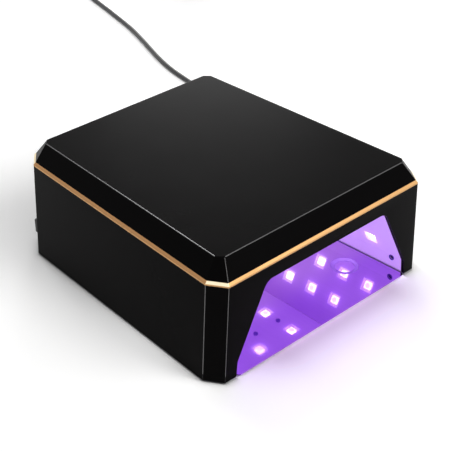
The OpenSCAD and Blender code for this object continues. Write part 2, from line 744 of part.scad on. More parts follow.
// Jack: flange outside the wall, threaded barrel through it, body inside, and a pin in its bore
jack_flange_t = 1.2;
jack_body_d = 12;
jack_bore_l = 11;
jack_barrel_l = wall_t + 4;
module in_jack() translate([jack_x, body_d, port_z]) rotate([-90, 0, 0]) children();
module power_jack() {
  flange_d = jack_d + 3;
  pin_r = 1;
  color("#26262a") at_front() in_jack() {
    difference() {
      union() {
        cylinder(d = flange_d, h = jack_flange_t, $fn = round_n);
        translate([0, 0, -jack_barrel_l]) cylinder(d = jack_d, h = jack_barrel_l + eps, $fn = round_n);
        translate([-4.5, -4.5, -jack_barrel_l - jack_body_d]) cube([9, 9, jack_body_d + eps]);
      }
      translate([0, 0, jack_flange_t - jack_bore_l])
        cylinder(d = sleeve_d + 2 * seat_gap, h = jack_bore_l + 1, $fn = round_n);
    }
    translate([0, 0, jack_flange_t - jack_bore_l - 1])
      cylinder(r = pin_r, h = jack_bore_l - 1, $fn = round_n);
    for (x = [-2, 2]) translate([x - 0.5, -1, -jack_barrel_l - jack_body_d - 3]) cube([1, 2, 3 + eps]);
  }
}
module jack_nut() {
  nut_h = 2.2;
  color(steel) at_front() in_jack() translate([0, 0, -wall_t - nut_h]) difference() {
    cylinder(d = jack_d + 3.6, h = nut_h, $fn = 6);
    translate([0, 0, -1]) cylinder(d = jack_d + 2 * screw_gap, h = nut_h + 2, $fn = round_n);
  }
}

// A tube along a path: n sides, rings square to the path and never twisted, its ends cut square
function unit(v) = v / norm(v);
function heading(path, i) =
  i == 0 ? unit(path[1] - path[0])
  : i == len(path) - 1 ? unit(path[i] - path[i - 1])
  : unit(unit(path[i + 1] - path[i]) + unit(path[i] - path[i - 1]));
function upright(n, t) = unit(n - t * (n * t));
function normals(path, first) =
  [for (i = 0, n = upright(first, heading(path, 0)); i < len(path);
    i = i + 1, n = i < len(path) ? upright(n, heading(path, i)) : n) n];
module tube(path, d, n, first = [0, 0, 1]) {
  up = normals(path, first);
  loft([for (i = [0:len(path) - 1])
    let (t = heading(path, i), u = up[i], v = cross(t, u))
    [for (k = [0:n - 1]) let (a = 360 * (k + 0.5) / n) path[i] + d / 2 * (cos(a) * u + sin(a) * v)]]);
}
// A smooth path through points: each span is cut into m pieces
function smooth(p, m) = concat(
  [for (i = [0:len(p) - 2]) for (j = [0:m - 1])
    let (
      t = j / m,
      a = p[max(i - 1, 0)],
      b = p[i],
      c = p[i + 1],
      d = p[min(i + 2, len(p) - 1)]
    )
    b + (c - a) * (t / 2) + (2 * a - 5 * b + 4 * c - d) * (t * t / 2)
      + (3 * b - a - 3 * c + d) * (t * t * t / 2)],
  [p[len(p) - 1]]
);
function reverse(p) = [for (i = [len(p) - 1:-1:0]) p[i]];
function path_length(p) = [for (i = 1, s = norm(p[1] - p[0]); i < len(p);
  i = i + 1, s = i < len(p) ? s + norm(p[i] - p[i - 1]) : s) s][len(p) - 2];

// Inner wires, from the front wall: routes chosen by hand between the pieces that they join
wire_d = 1.2;
jack_tail_y = body_d - jack_barrel_l - jack_body_d - 3;
switch_tail_y = pivot_y + terminal_y - 5;
function lead_in(p, v) = [p, p + v / 2, p + v];
function jack_end(x) = [jack_x + x, jack_tail_y, port_z];
function switch_end(x) = [-switch_x + x, switch_tail_y, port_z];
board_edge_y = control_y + control_d;
// A point in the ceiling frame, as seen from the front wall
function from_ceiling(p) = [p[0], p[1] * cos(ceiling_fall) + p[2] * sin(ceiling_fall),
  ceiling_z0 - p[1] * sin(ceiling_fall) + p[2] * cos(ceiling_fall)];
board_mid = control_base + board_t / 2;
inwards = [0, -3, 0];
function board_end(x) = [for (y = [8, 3, 1.5, 0]) from_ceiling([x, board_edge_y + y, board_mid])];
power_routes = [
  concat(lead_in(jack_end(2), inwards),
    [[jack_x - 4, cavity_d + 9, 9], [10, cavity_d + 8, 8], [-40, cavity_d + 8, 8],
      [-switch_x + terminal_x + 4, cavity_d + 9, 9]],
    reverse(lead_in(switch_end(terminal_x), inwards))),
  concat(lead_in(switch_end(-terminal_x), inwards),
    [[-switch_x - 1, cavity_d + 9, 20], [-60, cavity_d + 8, 38], [-46, cavity_d + 7, 56],
      [-34, cavity_d, 68], [-22, cavity_d - 20, 71]],
    board_end(-14)),
  concat(lead_in(jack_end(-2), inwards),
    [[jack_x - 4, cavity_d + 9, 22], [40, cavity_d + 8, 40], [35, cavity_d + 7, 57],
      [28, cavity_d, 68], [20, cavity_d - 20, 71]],
    board_end(14))
];
module power_wires() {
  color(copper_red) at_front() for (route = power_routes) tube(smooth(route, 2), wire_d, 6, [1, 0, 0]);
}

// Where a wire meets the outer face of a side board, near its upper edge
board_out = liner_t + board_t;
function from_wall(v, y, w) = [
  inner_x(0, ceiling_z0) + (v * sin(wall_a) + w * cos(wall_a)) * cos(narrow_a) - y * sin(narrow_a),
  (v * sin(wall_a) + w * cos(wall_a)) * sin(narrow_a) + y * cos(narrow_a),
  ceiling_z0 - v * cos(wall_a) + w * sin(wall_a)
];
light_v = side_row - window_w + 3;
function board_side(y) = [for (x = [0, 1.5, 3]) from_ceiling([control_w / 2 + x, y, board_mid])];
function light_route(y) = concat(board_side(y),
  [from_ceiling([control_w / 2 + 16, y, board_mid + 1]), from_wall(light_v - 12, y, board_out + 8),
    from_wall(light_v - 2, y, board_out + 7)],
  [for (w = [3, 1.5, 0]) from_wall(light_v, y, board_out + w)]);
module light_wires() {
  color("#d8d4d0") at_front() for (y = [control_y + 30, control_y + 34]) both_sides()
    tube(smooth(light_route(y), 2), wire_d, 6, [0, 1, 0]);
}
sensor_back = sensor_x + 2 + seat_gap;
sensor_end = board_side(control_y + 22);
// Each point's shares of the way from the sensor to the board: inwards, back and up
sensor_shares = [[-0.08, 0.04, 0.08], [-0.07, 0.11, 0.26], [0, 0.36, 0.52], [0.14, 0.66, 0.75],
  [0.46, 0.89, 0.95], [0.71, 0.99, 1]];
sensor_route = concat(lead_in([sensor_back, sensor_y, sensor_z], [2.6, 0, 0]),
  [for (t = sensor_shares) [
    sensor_back + (sensor_end[2][0] - sensor_back) * t[0],
    sensor_y + (sensor_end[2][1] - sensor_y) * t[1],
    sensor_z + (sensor_end[2][2] - sensor_z) * t[2]
  ]],
  reverse(sensor_end));
module sensor_wires() {
  color("#d8d4d0") at_front() both_sides() tube(smooth(sensor_route, 2), wire_d, 6, [0, 1, 0]);
}

// Right-angle plug in the jack, its tapered strain relief towards +X
plug_half = 5.2;
plug_y = body_d + jack_flange_t + slide_gap + plug_half;
relief_x = jack_x + 13;
relief_l = 20;
module plug() {
  sleeve_l = 9.5;
  bore_r = 1.15;
  color(rubber_black) at_front() {
    translate([jack_x, plug_y, port_z]) difference() {
      union() {
        hull() {
          cylinder(d = 2 * plug_half, h = 10, center = true, $fn = 32);
          translate([relief_x - jack_x - 1, 0, 0]) rotate([0, 90, 0]) cylinder(d = 8.6, h = 1, $fn = 32);
        }
        rotate([90, 0, 0]) cylinder(d = sleeve_d, h = sleeve_l + plug_half, $fn = round_n);
      }
      translate([0, -plug_half - eps, 0]) rotate([90, 0, 0])
        cylinder(r = bore_r, h = sleeve_l + 1, $fn = round_n);
    }
    translate([relief_x - eps, plug_y, port_z]) rotate([0, 90, 0])
      cylinder(d1 = 8, d2 = cord_d + 1.6, h = relief_l, $fn = 32);
  }
}

// The lead's route, chosen by hand from the photographed lie, in the lamp's frame
cord_start = [relief_x + relief_l, front_y + plug_y, port_z];
coil_mid = [272, 498];
coil_r = 24;
coil_turns = 6.25;
coil_pitch = cord_d + 0.5;
coil_low = cord_d / 2 + 1;
coil_out = coil_r + coil_turns / 4 * coil_pitch;
coil_start = [coil_mid[0] - coil_out, coil_mid[1] - cord_d, coil_low];
cord_points = concat(lead_in(cord_start, [2 * cord_d, 0, 0]), [
  [95, 108.8, 10.6], [104, 110.5, 8.6], [116, 115, 5.6], [127, 121.5, 3.4], [137, 130, 2.2], [146, 141, 2],
  [154, 155, 2], [160, 170, 2], [164.5, 187, 2], [167.5, 203, 2], [170, 219.3, 2], [172, 232.5, 2],
  [174.3, 245.8, 2], [178, 261, 2], [182.5, 275.8, 2], [187.6, 290.5, 2], [192.9, 305, 2], [198, 319.3, 2],
  [202.8, 333.6, 2], [207.1, 348, 2], [211, 363.7, 2], [214.8, 380, 2], [218.5, 396, 2], [222, 412, 2],
  [225.2, 427.4, 2], [229, 443, 2], [233.3, 458, 2.2], [237.6, 472, 2.6]
], reverse(lead_in(coil_start, [0, -2 * cord_d, 0])));
module cord_run() color(rubber_black) tube(smooth(cord_points, 2), cord_d, 8, [0, 0, 1]);

// Coil: it spirals in on its lower layer, climbs in the half turn where it reverses, and spirals out
function coil_point(s) =
  let (
    mid = coil_turns / 2,
    r = coil_out - coil_pitch * (mid - abs(s - mid)),
    lift = min(max((s - mid) * 2 + 0.5, 0), 1),
    a = 180 - 360 * s
  )
  [coil_mid[0] + r * cos(a), coil_mid[1] + r * sin(a), coil_low + coil_pitch * lift];
coil_rings = 24 * coil_turns;
coil_end = coil_point(coil_turns) + [cord_d, 0, 0];
coil_path = concat([coil_start], [for (i = [0:coil_rings]) coil_point(i / 24)], [coil_end]);
module cord_coil() color(rubber_black) tube(coil_path, cord_d, 6, [0, 0, 1]);

// Least gap of the coil to itself, between points more than half a turn apart
coil_gap = min([for (i = [0:len(coil_path) - 1]) for (j = [i + 12:1:len(coil_path) - 1])
  norm(coil_path[i] - coil_path[j])]) - cord_d;
echo(coil_gap = coil_gap);

// Adapter: it stands beside the coil, with its strain relief towards the back
adapter_x = 335;
adapter_y = 384;
adapter_relief = 16;
tail_end = [adapter_x, adapter_y + adapter_l + adapter_relief, adapter_lead_z];
tail_points = concat(lead_in(coil_end, [2 * cord_d, 0, 0]), [
  [293, 529, 7.5], [303, 527.8, 7.6], [312.5, 524.5, 8], [321, 519, 8.5], [328, 511.5, 9.1],
  [332.5, 503, 9.6], [334.6, 493, 9.9], [335, 483, 10]
], reverse(lead_in(tail_end, [0, 2 * cord_d, 0])));
module cord_tail() color(rubber_black) tube(smooth(tail_points, 2), cord_d, 8, [0, 0, 1]);
echo(cord_length = path_length(smooth(cord_points, 2)) + path_length(coil_path)
  + path_length(smooth(tail_points, 2)));
echo(run = path_length(smooth(cord_points, 2)), coil = path_length(coil_path),
  tail = path_length(smooth(tail_points, 2)));

// A flat band around the coil's turns, on the side away from the tail
module cord_tie() {
  band_w = 8;
  band_t = 0.8;
  gap = 0.2;
  r_in = coil_out - coil_turns / 2 * coil_pitch - cord_d / 2 - gap - 0.6;
  r_out = coil_out + cord_d / 2 + gap;
  low = coil_low - cord_d / 2 - gap;
  high = coil_low + coil_pitch + cord_d / 2 + gap;
  color("#3a3a3e") translate([coil_mid[0], coil_mid[1], 0]) rotate(-50)
    difference() {
      translate([r_in - band_t, -band_w / 2, max(low - band_t, 0)])
        cube([r_out - r_in + 2 * band_t, band_w, high + band_t - max(low - band_t, 0)]);
      translate([r_in, -band_w, low]) cube([r_out - r_in, 2 * band_w, high - low]);
    }
}

// Adapter case: an open box, its end cover with the blades, and the relief that holds the lead
cover_l = 14;
adapter_r = 4;
module adapter_block(l, inset) {
  w = adapter_w - 2 * inset;
  h = adapter_h - 2 * inset;
  r = max(adapter_r - inset, 1);
  translate([adapter_x - w / 2, 0, inset]) hull() for (x = [r, w - r]) for (z = [r, h - r])
    translate([x, l, z]) rotate([90, 0, 0]) cylinder(r = r, h = l, $fn = 32);
}
module adapter_case() {
  color(rubber_black) {
    difference() {
      translate([0, adapter_y + cover_l, 0]) adapter_block(adapter_l - cover_l, 0);
      translate([0, adapter_y + cover_l - 1, 0])
        adapter_block(adapter_l - cover_l - adapter_wall + 1, adapter_wall);
    }
    translate([adapter_x, adapter_y + adapter_l - eps, tail_end[2]]) rotate([-90, 0, 0])
      cylinder(d1 = 8.6, d2 = cord_d + 1.6, h = adapter_relief, $fn = 32);
  }
}
blade_x = 6.35;
blade_w = 1.5;
blade_h = 6.3;
blade_l = 17;
module adapter_cover() {
  spigot = 4;
  color(rubber_black) difference() {
    union() {
      translate([0, adapter_y, 0]) adapter_block(cover_l - seat_gap, 0);
      translate([0, adapter_y + 1, 0]) adapter_block(cover_l + spigot - 1, adapter_wall + seat_gap);
    }
    translate([0, adapter_y + adapter_wall, 0]) adapter_block(cover_l + spigot, 2 * adapter_wall);
    for (x = [-blade_x, blade_x])
      translate([adapter_x + x, adapter_y + adapter_wall / 2, adapter_h / 2])
        cube([blade_w + 2 * screw_gap, adapter_wall + 2, blade_h + 2 * screw_gap], center = true);
  }
}
module adapter_blades() {
  inner = adapter_wall + 4;
  color(steel) for (x = [-blade_x, blade_x]) difference() {
    translate([adapter_x + x - blade_w / 2, adapter_y - blade_l, adapter_h / 2 - blade_h / 2])
      cube([blade_w, blade_l + inner, blade_h]);
    translate([adapter_x + x - blade_w, adapter_y - blade_l + 4, adapter_h / 2]) rotate([0, 90, 0])
      cylinder(d = 3, h = 2 * blade_w, $fn = 24);
  }
}

body_shell();
top_cover();
gold_trim();
bottom_cover();
cover_screws();
ceiling_reflector();
left_reflector();
right_reflector();
back_reflector();
ceiling_board();
left_board();
right_board();
ceiling_leds();
left_leds();
right_leds();
ceiling_screws();
control_board();
control_parts();
board_spacers();
board_screws();
sensor_emitter();
sensor_receiver();
power_jack();
jack_nut();
switch_housing();
switch_rocker();
switch_terminals();
power_wires();
light_wires();
sensor_wires();
feet();
tray();
tray_pads();
tray_magnets();
plug();
cord_run();
cord_coil();
cord_tail();
cord_tie();
adapter_case();
adapter_cover();
adapter_blades();
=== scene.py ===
import math
import bpy
import bmesh
import numpy as np
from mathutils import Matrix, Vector


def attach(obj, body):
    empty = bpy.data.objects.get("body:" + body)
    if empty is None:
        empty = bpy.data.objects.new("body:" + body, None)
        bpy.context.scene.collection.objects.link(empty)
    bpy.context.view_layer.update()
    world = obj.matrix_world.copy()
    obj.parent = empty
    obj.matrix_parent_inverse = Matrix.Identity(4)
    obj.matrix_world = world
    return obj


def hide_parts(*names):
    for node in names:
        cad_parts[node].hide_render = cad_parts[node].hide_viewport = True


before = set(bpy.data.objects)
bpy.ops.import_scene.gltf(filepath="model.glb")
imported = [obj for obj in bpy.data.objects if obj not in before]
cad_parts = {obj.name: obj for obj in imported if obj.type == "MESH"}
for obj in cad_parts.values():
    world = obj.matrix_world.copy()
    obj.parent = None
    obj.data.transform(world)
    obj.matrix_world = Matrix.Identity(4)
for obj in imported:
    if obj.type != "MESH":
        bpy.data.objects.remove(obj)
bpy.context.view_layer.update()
print("frame loaded:", len(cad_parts), "nodes")

scene = bpy.context.scene
scene.view_settings.view_transform = "Standard"
milli = 0.001  # shapes below are worked out in millimetres and put into the meshes in metres

view = {"place": (-0.47716, -0.51774, 0.48503), "target": (-0.00817, -0.019, 0.0393), "fieldDegrees": 21.2218}
cameraData = bpy.data.cameras.new("camera")
cameraData.sensor_width = 36
cameraData.lens = 18 / math.tan(math.radians(view["fieldDegrees"]) / 2)
cameraData.clip_start = 0.01
cameraData.clip_end = 50


def newObject(name, data):
    made = bpy.data.objects.new(name, data)
    scene.collection.objects.link(made)
    return made


def aimed(name, data, place, aim):
    # a camera or a lamp that stands at its place, turned towards the aim
    made = newObject(name, data)
    made.location = place
    made.rotation_mode = "QUATERNION"
    made.rotation_quaternion = (Vector(aim) - Vector(place)).to_track_quat("-Z", "Y")
    return made


scene.camera = aimed("camera", cameraData, view["place"], view["target"])


def loft(rings, closed=False):
    # skin of quads between neighbouring rings of points, which run anticlockwise as seen from the last ring; closed
    # joins the last ring to the first, and open lofts get flat ends
    rings = np.asarray(rings, float)
    many, count = rings.shape[:2]
    row = np.arange(many if closed else many - 1)[:, None] * count
    col = np.arange(count)[None]
    nextCol, nextRow = (col + 1) % count, (row + count) % (many * count)
    faces = np.stack([row + col, row + nextCol, nextRow + nextCol, nextRow + col], -1).reshape(-1, 4).tolist()
    if not closed:
        faces += [list(range(count - 1, -1, -1)), list(range((many - 1) * count, many * count))]
    return rings.reshape(-1, 3), faces


def together(*shapes):
    # several skins as one list of points and faces
    points, faces, start = [], [], 0
    for shapePoints, shapeFaces in shapes:
        points.append(shapePoints)
        faces += [[i + start for i in face] for face in shapeFaces]
        start += len(shapePoints)
    return np.vstack(points), faces


def mirrored(shape):
    # the same skin on the other side of the middle plane, with its faces turned to point outwards
    points, faces = shape
    return points * (-1, 1, 1), [face[::-1] for face in faces]


def outward(shape):
    # a closed skin with its faces turned so that its signed volume is positive
    points, faces = shape
    volume = sum(np.dot(points[face[0]], np.cross(points[face[i]], points[face[i + 1]]))
        for face in faces for i in range(1, len(face) - 1))
    return (points, faces) if volume > 0 else (points, [face[::-1] for face in faces])


sharpAngle, bevelAngle = math.radians(32), math.radians(35)


def piece(name, shape, material, body="root", replaced=(), weighted=True, edgeMaterial=None, edgeFaces=None):
    # a skin in millimetres as a finished object; edgeFaces marks the faces that take the edge material
    points, faces = shape
    mesh = bpy.data.meshes.new(name)
    mesh.from_pydata((np.asarray(points) * milli).tolist(), [], faces)
    mesh.update()
    mesh.shade_smooth()
    mesh.set_sharp_from_angle(angle=sharpAngle)
    made = newObject(name, mesh)
    finishPiece(made, material, body, replaced, weighted, None, edgeMaterial)
    if edgeFaces is not None:
        mesh.polygons.foreach_set("material_index", np.asarray(edgeFaces, np.int32))
    return made


def finishPiece(made, material, body, replaced, weighted, bevel, edgeMaterial):
    # materials, eased edges or evened shading, and what the piece rides on, wears and stands for
    made.data.materials.clear()
    made.data.materials.append(material)
    if edgeMaterial:
        made.data.materials.append(edgeMaterial)
    if bevel:
        edge = made.modifiers.new("easedEdges", "BEVEL")
        edge.width = bevel * milli
        edge.segments = 3
        edge.limit_method = "ANGLE"
        edge.angle_limit = bevelAngle
        edge.use_clamp_overlap = True
        edge.harden_normals = True
        edge.miter_outer = "MITER_ARC"
        edge.material = 1 if edgeMaterial else -1
    elif weighted:
        made.modifiers.new("evenShade", "WEIGHTED_NORMAL").keep_sharp = True
    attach(made, body)
    if replaced:
        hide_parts(*replaced)


def dressed(node, material, body="root", bevel=0.25, name=None, edgeMaterial=None, flats=0.0):
    # a merged copy of a CAD node with eased edges, which stands for the node; faces larger than flats, in square
    # millimetres, keep their own normal right up to their rims, and the rest take the edge material
    made = newObject(name or node + "_dressed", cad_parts[node].data.copy())
    form = bmesh.new()
    form.from_mesh(made.data)
    bmesh.ops.remove_doubles(form, verts=form.verts, dist=2e-6)
    bmesh.ops.dissolve_limit(form, angle_limit=math.radians(0.6), verts=form.verts, edges=form.edges)
    level = {face for face in form.faces if face.calc_area() > flats * milli**2} if flats else set()
    form.to_mesh(made.data)
    made.data.shade_smooth()
    made.data.set_sharp_from_angle(angle=sharpAngle)
    if flats:
        rims = [any(face in level for face in edge.link_faces) for edge in form.edges]
        sharpEdges = made.data.attributes["sharp_edge"]
        before = np.zeros(len(made.data.edges), bool)
        sharpEdges.data.foreach_get("value", before)
        sharpEdges.data.foreach_set("value", before | np.array(rims))
    small = [int(face not in level) for face in form.faces]
    form.free()
    finishPiece(made, material, body, (node,), not bevel, bevel, edgeMaterial)
    if flats and edgeMaterial:
        made.data.polygons.foreach_set("material_index", np.asarray(small, np.int32))
    return made


def smoothPath(points, cuts):
    # a curve through the points: each span is the cubic that leaves and meets its ends along their neighbours' chord
    p = np.asarray(points, float)
    i = np.arange(len(p) - 1)
    a, b, c, d = p[np.maximum(i - 1, 0)], p[:-1], p[1:], p[np.minimum(i + 2, len(p) - 1)]
    t = (np.arange(cuts) / cuts)[None, :, None]
    a, b, c, d = (x[:, None] for x in (a, b, c, d))
    spans = b + (c - a) * t / 2 + (2 * a - 5 * b + 4 * c - d) * t**2 / 2 + (3 * b - a - 3 * c + d) * t**3 / 2
    return np.vstack([spans.reshape(-1, 3), p[-1]])


def tubeRings(path, radius, sides):
    # circles square to the path, each with a flat side uppermost
    step = np.diff(path, axis=0)
    step /= np.linalg.norm(step, axis=1)[:, None]
    heading = np.vstack([step[:1], step[1:] + step[:-1], step[-1:]])
    heading /= np.linalg.norm(heading, axis=1)[:, None]
    up = np.array([0, 0, 1.0]) - heading * heading[:, 2:]
    up /= np.linalg.norm(up, axis=1)[:, None]
    across = np.cross(heading, up)
    turn = 2 * np.pi * (np.arange(sides) + 0.5) / sides
    circle = np.cos(turn)[None, :, None] * up[:, None] + np.sin(turn)[None, :, None] * across[:, None]
    return path[:, None] + radius * circle


def around(sides):
    # cosines and sines of equal steps around a circle
    turn = 2 * np.pi * np.arange(sides) / sides
    return np.cos(turn), np.sin(turn)


def washer(profile, centre, axis="Z", sides=40):
    # a closed profile of (radius, height) turned about an axis through centre
    profile = np.asarray(profile, float)
    cosine, sine = around(sides)
    ring = np.stack([profile[:, :1] * cosine, profile[:, :1] * sine,
        np.broadcast_to(profile[:, 1:], (len(profile), sides))], -1)
    order = {"Z": (0, 1, 2), "X": (2, 0, 1), "Y": (1, 2, 0)}[axis]
    return outward(loft(ring[..., list(order)] + np.asarray(centre, float), closed=True))


arcSteps = 6  # in the arc of each eased corner of an outline


def easedOutline(corners, shift, radius):
    # an anticlockwise outline with its sides pushed out by shift and each corner turned on an arc of the radius
    p = np.asarray(corners, float)
    side = np.roll(p, -1, 0) - p
    out = np.stack([side[:, 1], -side[:, 0]], 1) / np.linalg.norm(side, axis=1)[:, None]
    reach = (out * p).sum(1) + shift - radius
    before, beforeReach = np.roll(out, 1, 0), np.roll(reach, 1)
    det = before[:, 0] * out[:, 1] - before[:, 1] * out[:, 0]
    middle = np.stack([
        (beforeReach * out[:, 1] - reach * before[:, 1]) / det,
        (before[:, 0] * reach - out[:, 0] * beforeReach) / det,
    ], 1)
    start = np.arctan2(before[:, 1], before[:, 0])
    turn = (np.arctan2(out[:, 1], out[:, 0]) - start + 3 * np.pi) % (2 * np.pi) - np.pi
    angle = start[:, None] + turn[:, None] * np.linspace(0, 1, arcSteps + 1)[None]
    return (middle[:, None] + radius * np.stack([np.cos(angle), np.sin(angle)], -1)).reshape(-1, 2)


def raised(outline, height):
    # a flat outline as a ring of points at one height
    return np.concatenate([outline, np.full((len(outline), 1), float(height))], 1)


def isSocket(value):
    return isinstance(value, bpy.types.NodeSocket)


def feed(node, inputs):
    # sets inputs of a node, by name or number: each takes a value or another node's output
    for key, value in dict(inputs).items():
        if isSocket(value):
            node.id_data.links.new(value, node.inputs[key])
        else:
            node.inputs[key].default_value = value
    return node


def addNode(tree, kind, inputs=(), **settings):
    # a shader node by the last part of its type's name, with its settings and inputs
    node = tree.nodes.new("ShaderNode" + kind)
    for key, value in settings.items():
        setattr(node, key, value)
    return feed(node, inputs)


def treeOf(*values):
    # the node tree of the first socket among the values
    return next(value.id_data for value in values if isSocket(value))


def calc(operation, *values, clamp=False):
    # one Math node over numbers and sockets
    node = addNode(treeOf(*values), "Math", enumerate(values), operation=operation, use_clamp=clamp)
    return node.outputs[0]


def chain(operation, values):
    # the operation from the first value to the last; the short names below stand for sums, products and comparisons
    made = values[0]
    for value in values[1:]:
        made = calc(operation, made, value)
    return made


def plus(*values):
    return chain("ADD", values)


def times(*values):
    return chain("MULTIPLY", values)


def most(*values):
    return chain("MAXIMUM", values)


def minus(a, b):
    return calc("SUBTRACT", a, b)


def over(a, b):
    return calc("DIVIDE", a, b)


def below(a, b):
    return calc("LESS_THAN", a, b)


def above(a, b):
    return calc("GREATER_THAN", a, b)


def size(a):
    return calc("ABSOLUTE", a)


def squares(*values):
    # the sum of the values' squares
    return plus(*[times(value, value) for value in values])


naturalBase = 2.71828


def fading(distance):
    # one at no distance, and divided by the natural base for each unit of it
    return calc("POWER", naturalBase, times(distance, -1.0))


def ramp(value, low, high, start=0.0, end=1.0, soft=False):
    # start up to low, end from high on, and a straight or a softened way between
    return addNode(value.id_data, "MapRange", {0: value, 1: low, 2: high, 3: start, 4: end},
        interpolation_type="SMOOTHSTEP" if soft else "LINEAR").outputs[0]


def vector(operation, a, b, out=0):
    # one Vector Math node; a scale takes its factor in the fourth socket
    return addNode(treeOf(a, b), "VectorMath", {0: a, 3 if operation == "SCALE" else 1: b},
        operation=operation).outputs[out]


def mixColour(share, a, b):
    # colour a at no share, colour b at a full one
    a, b = [end if isSocket(end) else (*end, 1.0) for end in (a, b)]
    return addNode(treeOf(share, a, b), "Mix", {0: share, 6: a, 7: b}, data_type="RGBA").outputs[2]


def noise(place, scale, detail, **more):
    return addNode(place.id_data, "TexNoise",
        {"Vector": place, "Scale": scale, "Detail": detail, **more}).outputs[0]


def bumped(height, strength, distance=0.0001):
    # the normal of a surface that the height raises
    return addNode(height.id_data, "Bump",
        {"Strength": strength, "Distance": distance, "Height": height}).outputs[0]


def objectPlace(tree):
    return addNode(tree, "TexCoord").outputs["Object"]


def axes(socket):
    # the x, y and z of a vector
    return addNode(socket.id_data, "SeparateXYZ", {0: socket}).outputs


def facing(tree, kind="True Normal"):
    # the x, y and z of the surface's direction
    return axes(addNode(tree, "NewGeometry").outputs[kind])


def group(tree, kind, inputs):
    return addNode(tree, "Group", inputs, node_tree=kind).outputs


def newGroup(name, ins, outs):
    # a shader node group; ins gives the sockets' defaults, and a vector has none
    tree = bpy.data.node_groups.new(name, "ShaderNodeTree")
    for key, default in ins.items():
        kind = "Vector" if default is None else "Color" if isinstance(default, tuple) else "Float"
        made = tree.interface.new_socket(key, in_out="INPUT", socket_type="NodeSocket" + kind)
        if default is not None:
            made.default_value = default
    for key in outs:
        kind = "Color" if key == "Color" else "Float"
        tree.interface.new_socket(key, in_out="OUTPUT", socket_type="NodeSocket" + kind)
    return tree, tree.nodes.new("NodeGroupInput").outputs, tree.nodes.new("NodeGroupOutput")


# grain: fine noise that gives a moulded or sprayed surface its height and an uneven roughness
grain, gIn, gOut = newGroup("grain", {
    "Vector": None, "Scale": 1000.0, "Roughness": 0.4, "Spread": 0.1,
}, ("Roughness", "Height"))
unevenness = times(minus(noise(gIn["Vector"], 45.0, 3.0), 0.5), gIn["Spread"])
feed(gOut, {"Roughness": calc("ADD", gIn["Roughness"], unevenness, clamp=True),
    "Height": noise(gIn["Vector"], gIn["Scale"], 3.0)})

# dust: a thin pale film that lies on faces that look upwards, in soft drifts
dust, dIn, dOut = newGroup("dust", {
    "Vector": None, "Color": (0.1, 0.1, 0.1, 1), "Dust": (0.35, 0.33, 0.31, 1), "Amount": 0.02,
}, ("Color",))
upward = calc("POWER", most(facing(dust, "Normal")[2], 0.0), 3.0)
drifts = noise(dIn["Vector"], 22.0, 6.0, Roughness=0.7)
film = calc("MULTIPLY", times(upward, drifts), dIn["Amount"], clamp=True)
feed(dOut, {"Color": mixColour(film, dIn["Color"], dIn["Dust"])})

# smudges: soft patches where fingers have dulled a polished face
smudges, sIn, sOut = newGroup("smudges", {
    "Vector": None, "Scale": 30.0, "Roughness": 0.1, "Amount": 0.1,
}, ("Roughness",))
patches = ramp(noise(sIn["Vector"], sIn["Scale"], 2.0, Distortion=0.6), 0.52, 0.68, soft=True)
feed(sOut, {"Roughness": calc("ADD", times(patches, sIn["Amount"]), sIn["Roughness"], clamp=True)})

# halo: light spilt on a wall around a straight row of lamps; Across is square to the row and Along follows it
halo, hIn, hOut = newGroup("halo", {
    "Vector": None, "Origin": None, "Across": None, "Along": None,
    "Row": 0.0, "First": 0.0, "Pitch": 0.02, "Low": 0.0, "High": 4.0, "Reach": 0.005,
}, ("Value",))
fromOrigin = vector("SUBTRACT", hIn["Vector"], hIn["Origin"])
beside = minus(vector("DOT_PRODUCT", fromOrigin, hIn["Across"], "Value"), hIn["Row"])
alongFirst = minus(vector("DOT_PRODUCT", fromOrigin, hIn["Along"], "Value"), hIn["First"])
nearest = addNode(halo, "Clamp",
    {0: calc("ROUND", over(alongFirst, hIn["Pitch"])), 1: hIn["Low"], 2: hIn["High"]}).outputs[0]
behind = minus(alongFirst, times(nearest, hIn["Pitch"]))
# light falls off as one over one plus the squared distance in reaches, squared once more
falling = plus(over(squares(beside, behind), times(hIn["Reach"], hIn["Reach"])), 1.0)
feed(hOut, {"Value": over(1.0, times(falling, falling))})


def startMaterial(name):
    # a material, its tree, its shader and the Object coordinates
    material = bpy.data.materials.new(name)
    material.use_nodes = True
    tree = material.node_tree
    return material, tree, tree.nodes["Principled BSDF"], objectPlace(tree)


# what a plain finish has where its own look says nothing else
plainLook = {"driftScale": 60.0, "drift": 1.25, "dust": 0.02, "grainScale": 2500.0, "spread": 0.12, "bump": 0.1,
    "depth": 0.0001, "specular": 0.5, "metallic": 0.0, "glowDrift": 0.9}


def plainFinish(name, ownLook):
    # a moulded, sprayed or cast surface: colour drifts a little, dust on top, grain in roughness and height; a look
    # with a glow also emits it, painted light where the part is no lamp
    look = {**plainLook, **ownLook}
    material, tree, shader, place = startMaterial(name)
    drift = noise(place, look["driftScale"], 4.0)
    colour = mixColour(drift, look["colour"], [min(1.0, c * look["drift"]) for c in look["colour"]])
    dusted = group(tree, dust, {"Vector": place, "Color": colour, "Amount": look["dust"]})
    fine = group(tree, grain, {"Vector": place, "Scale": look["grainScale"], "Roughness": look["roughness"],
        "Spread": look["spread"]})
    feed(shader, {"Base Color": dusted["Color"], "Roughness": fine["Roughness"],
        "Normal": bumped(fine["Height"], look["bump"], look["depth"]),
        "Specular IOR Level": look["specular"], "Metallic": look["metallic"]})
    if "glow" in look:
        lit = mixColour(drift, look["glow"], [c * look["glowDrift"] for c in look["glow"]])
        feed(shader, {"Emission Color": lit, "Emission Strength": look["strength"]})
    return material


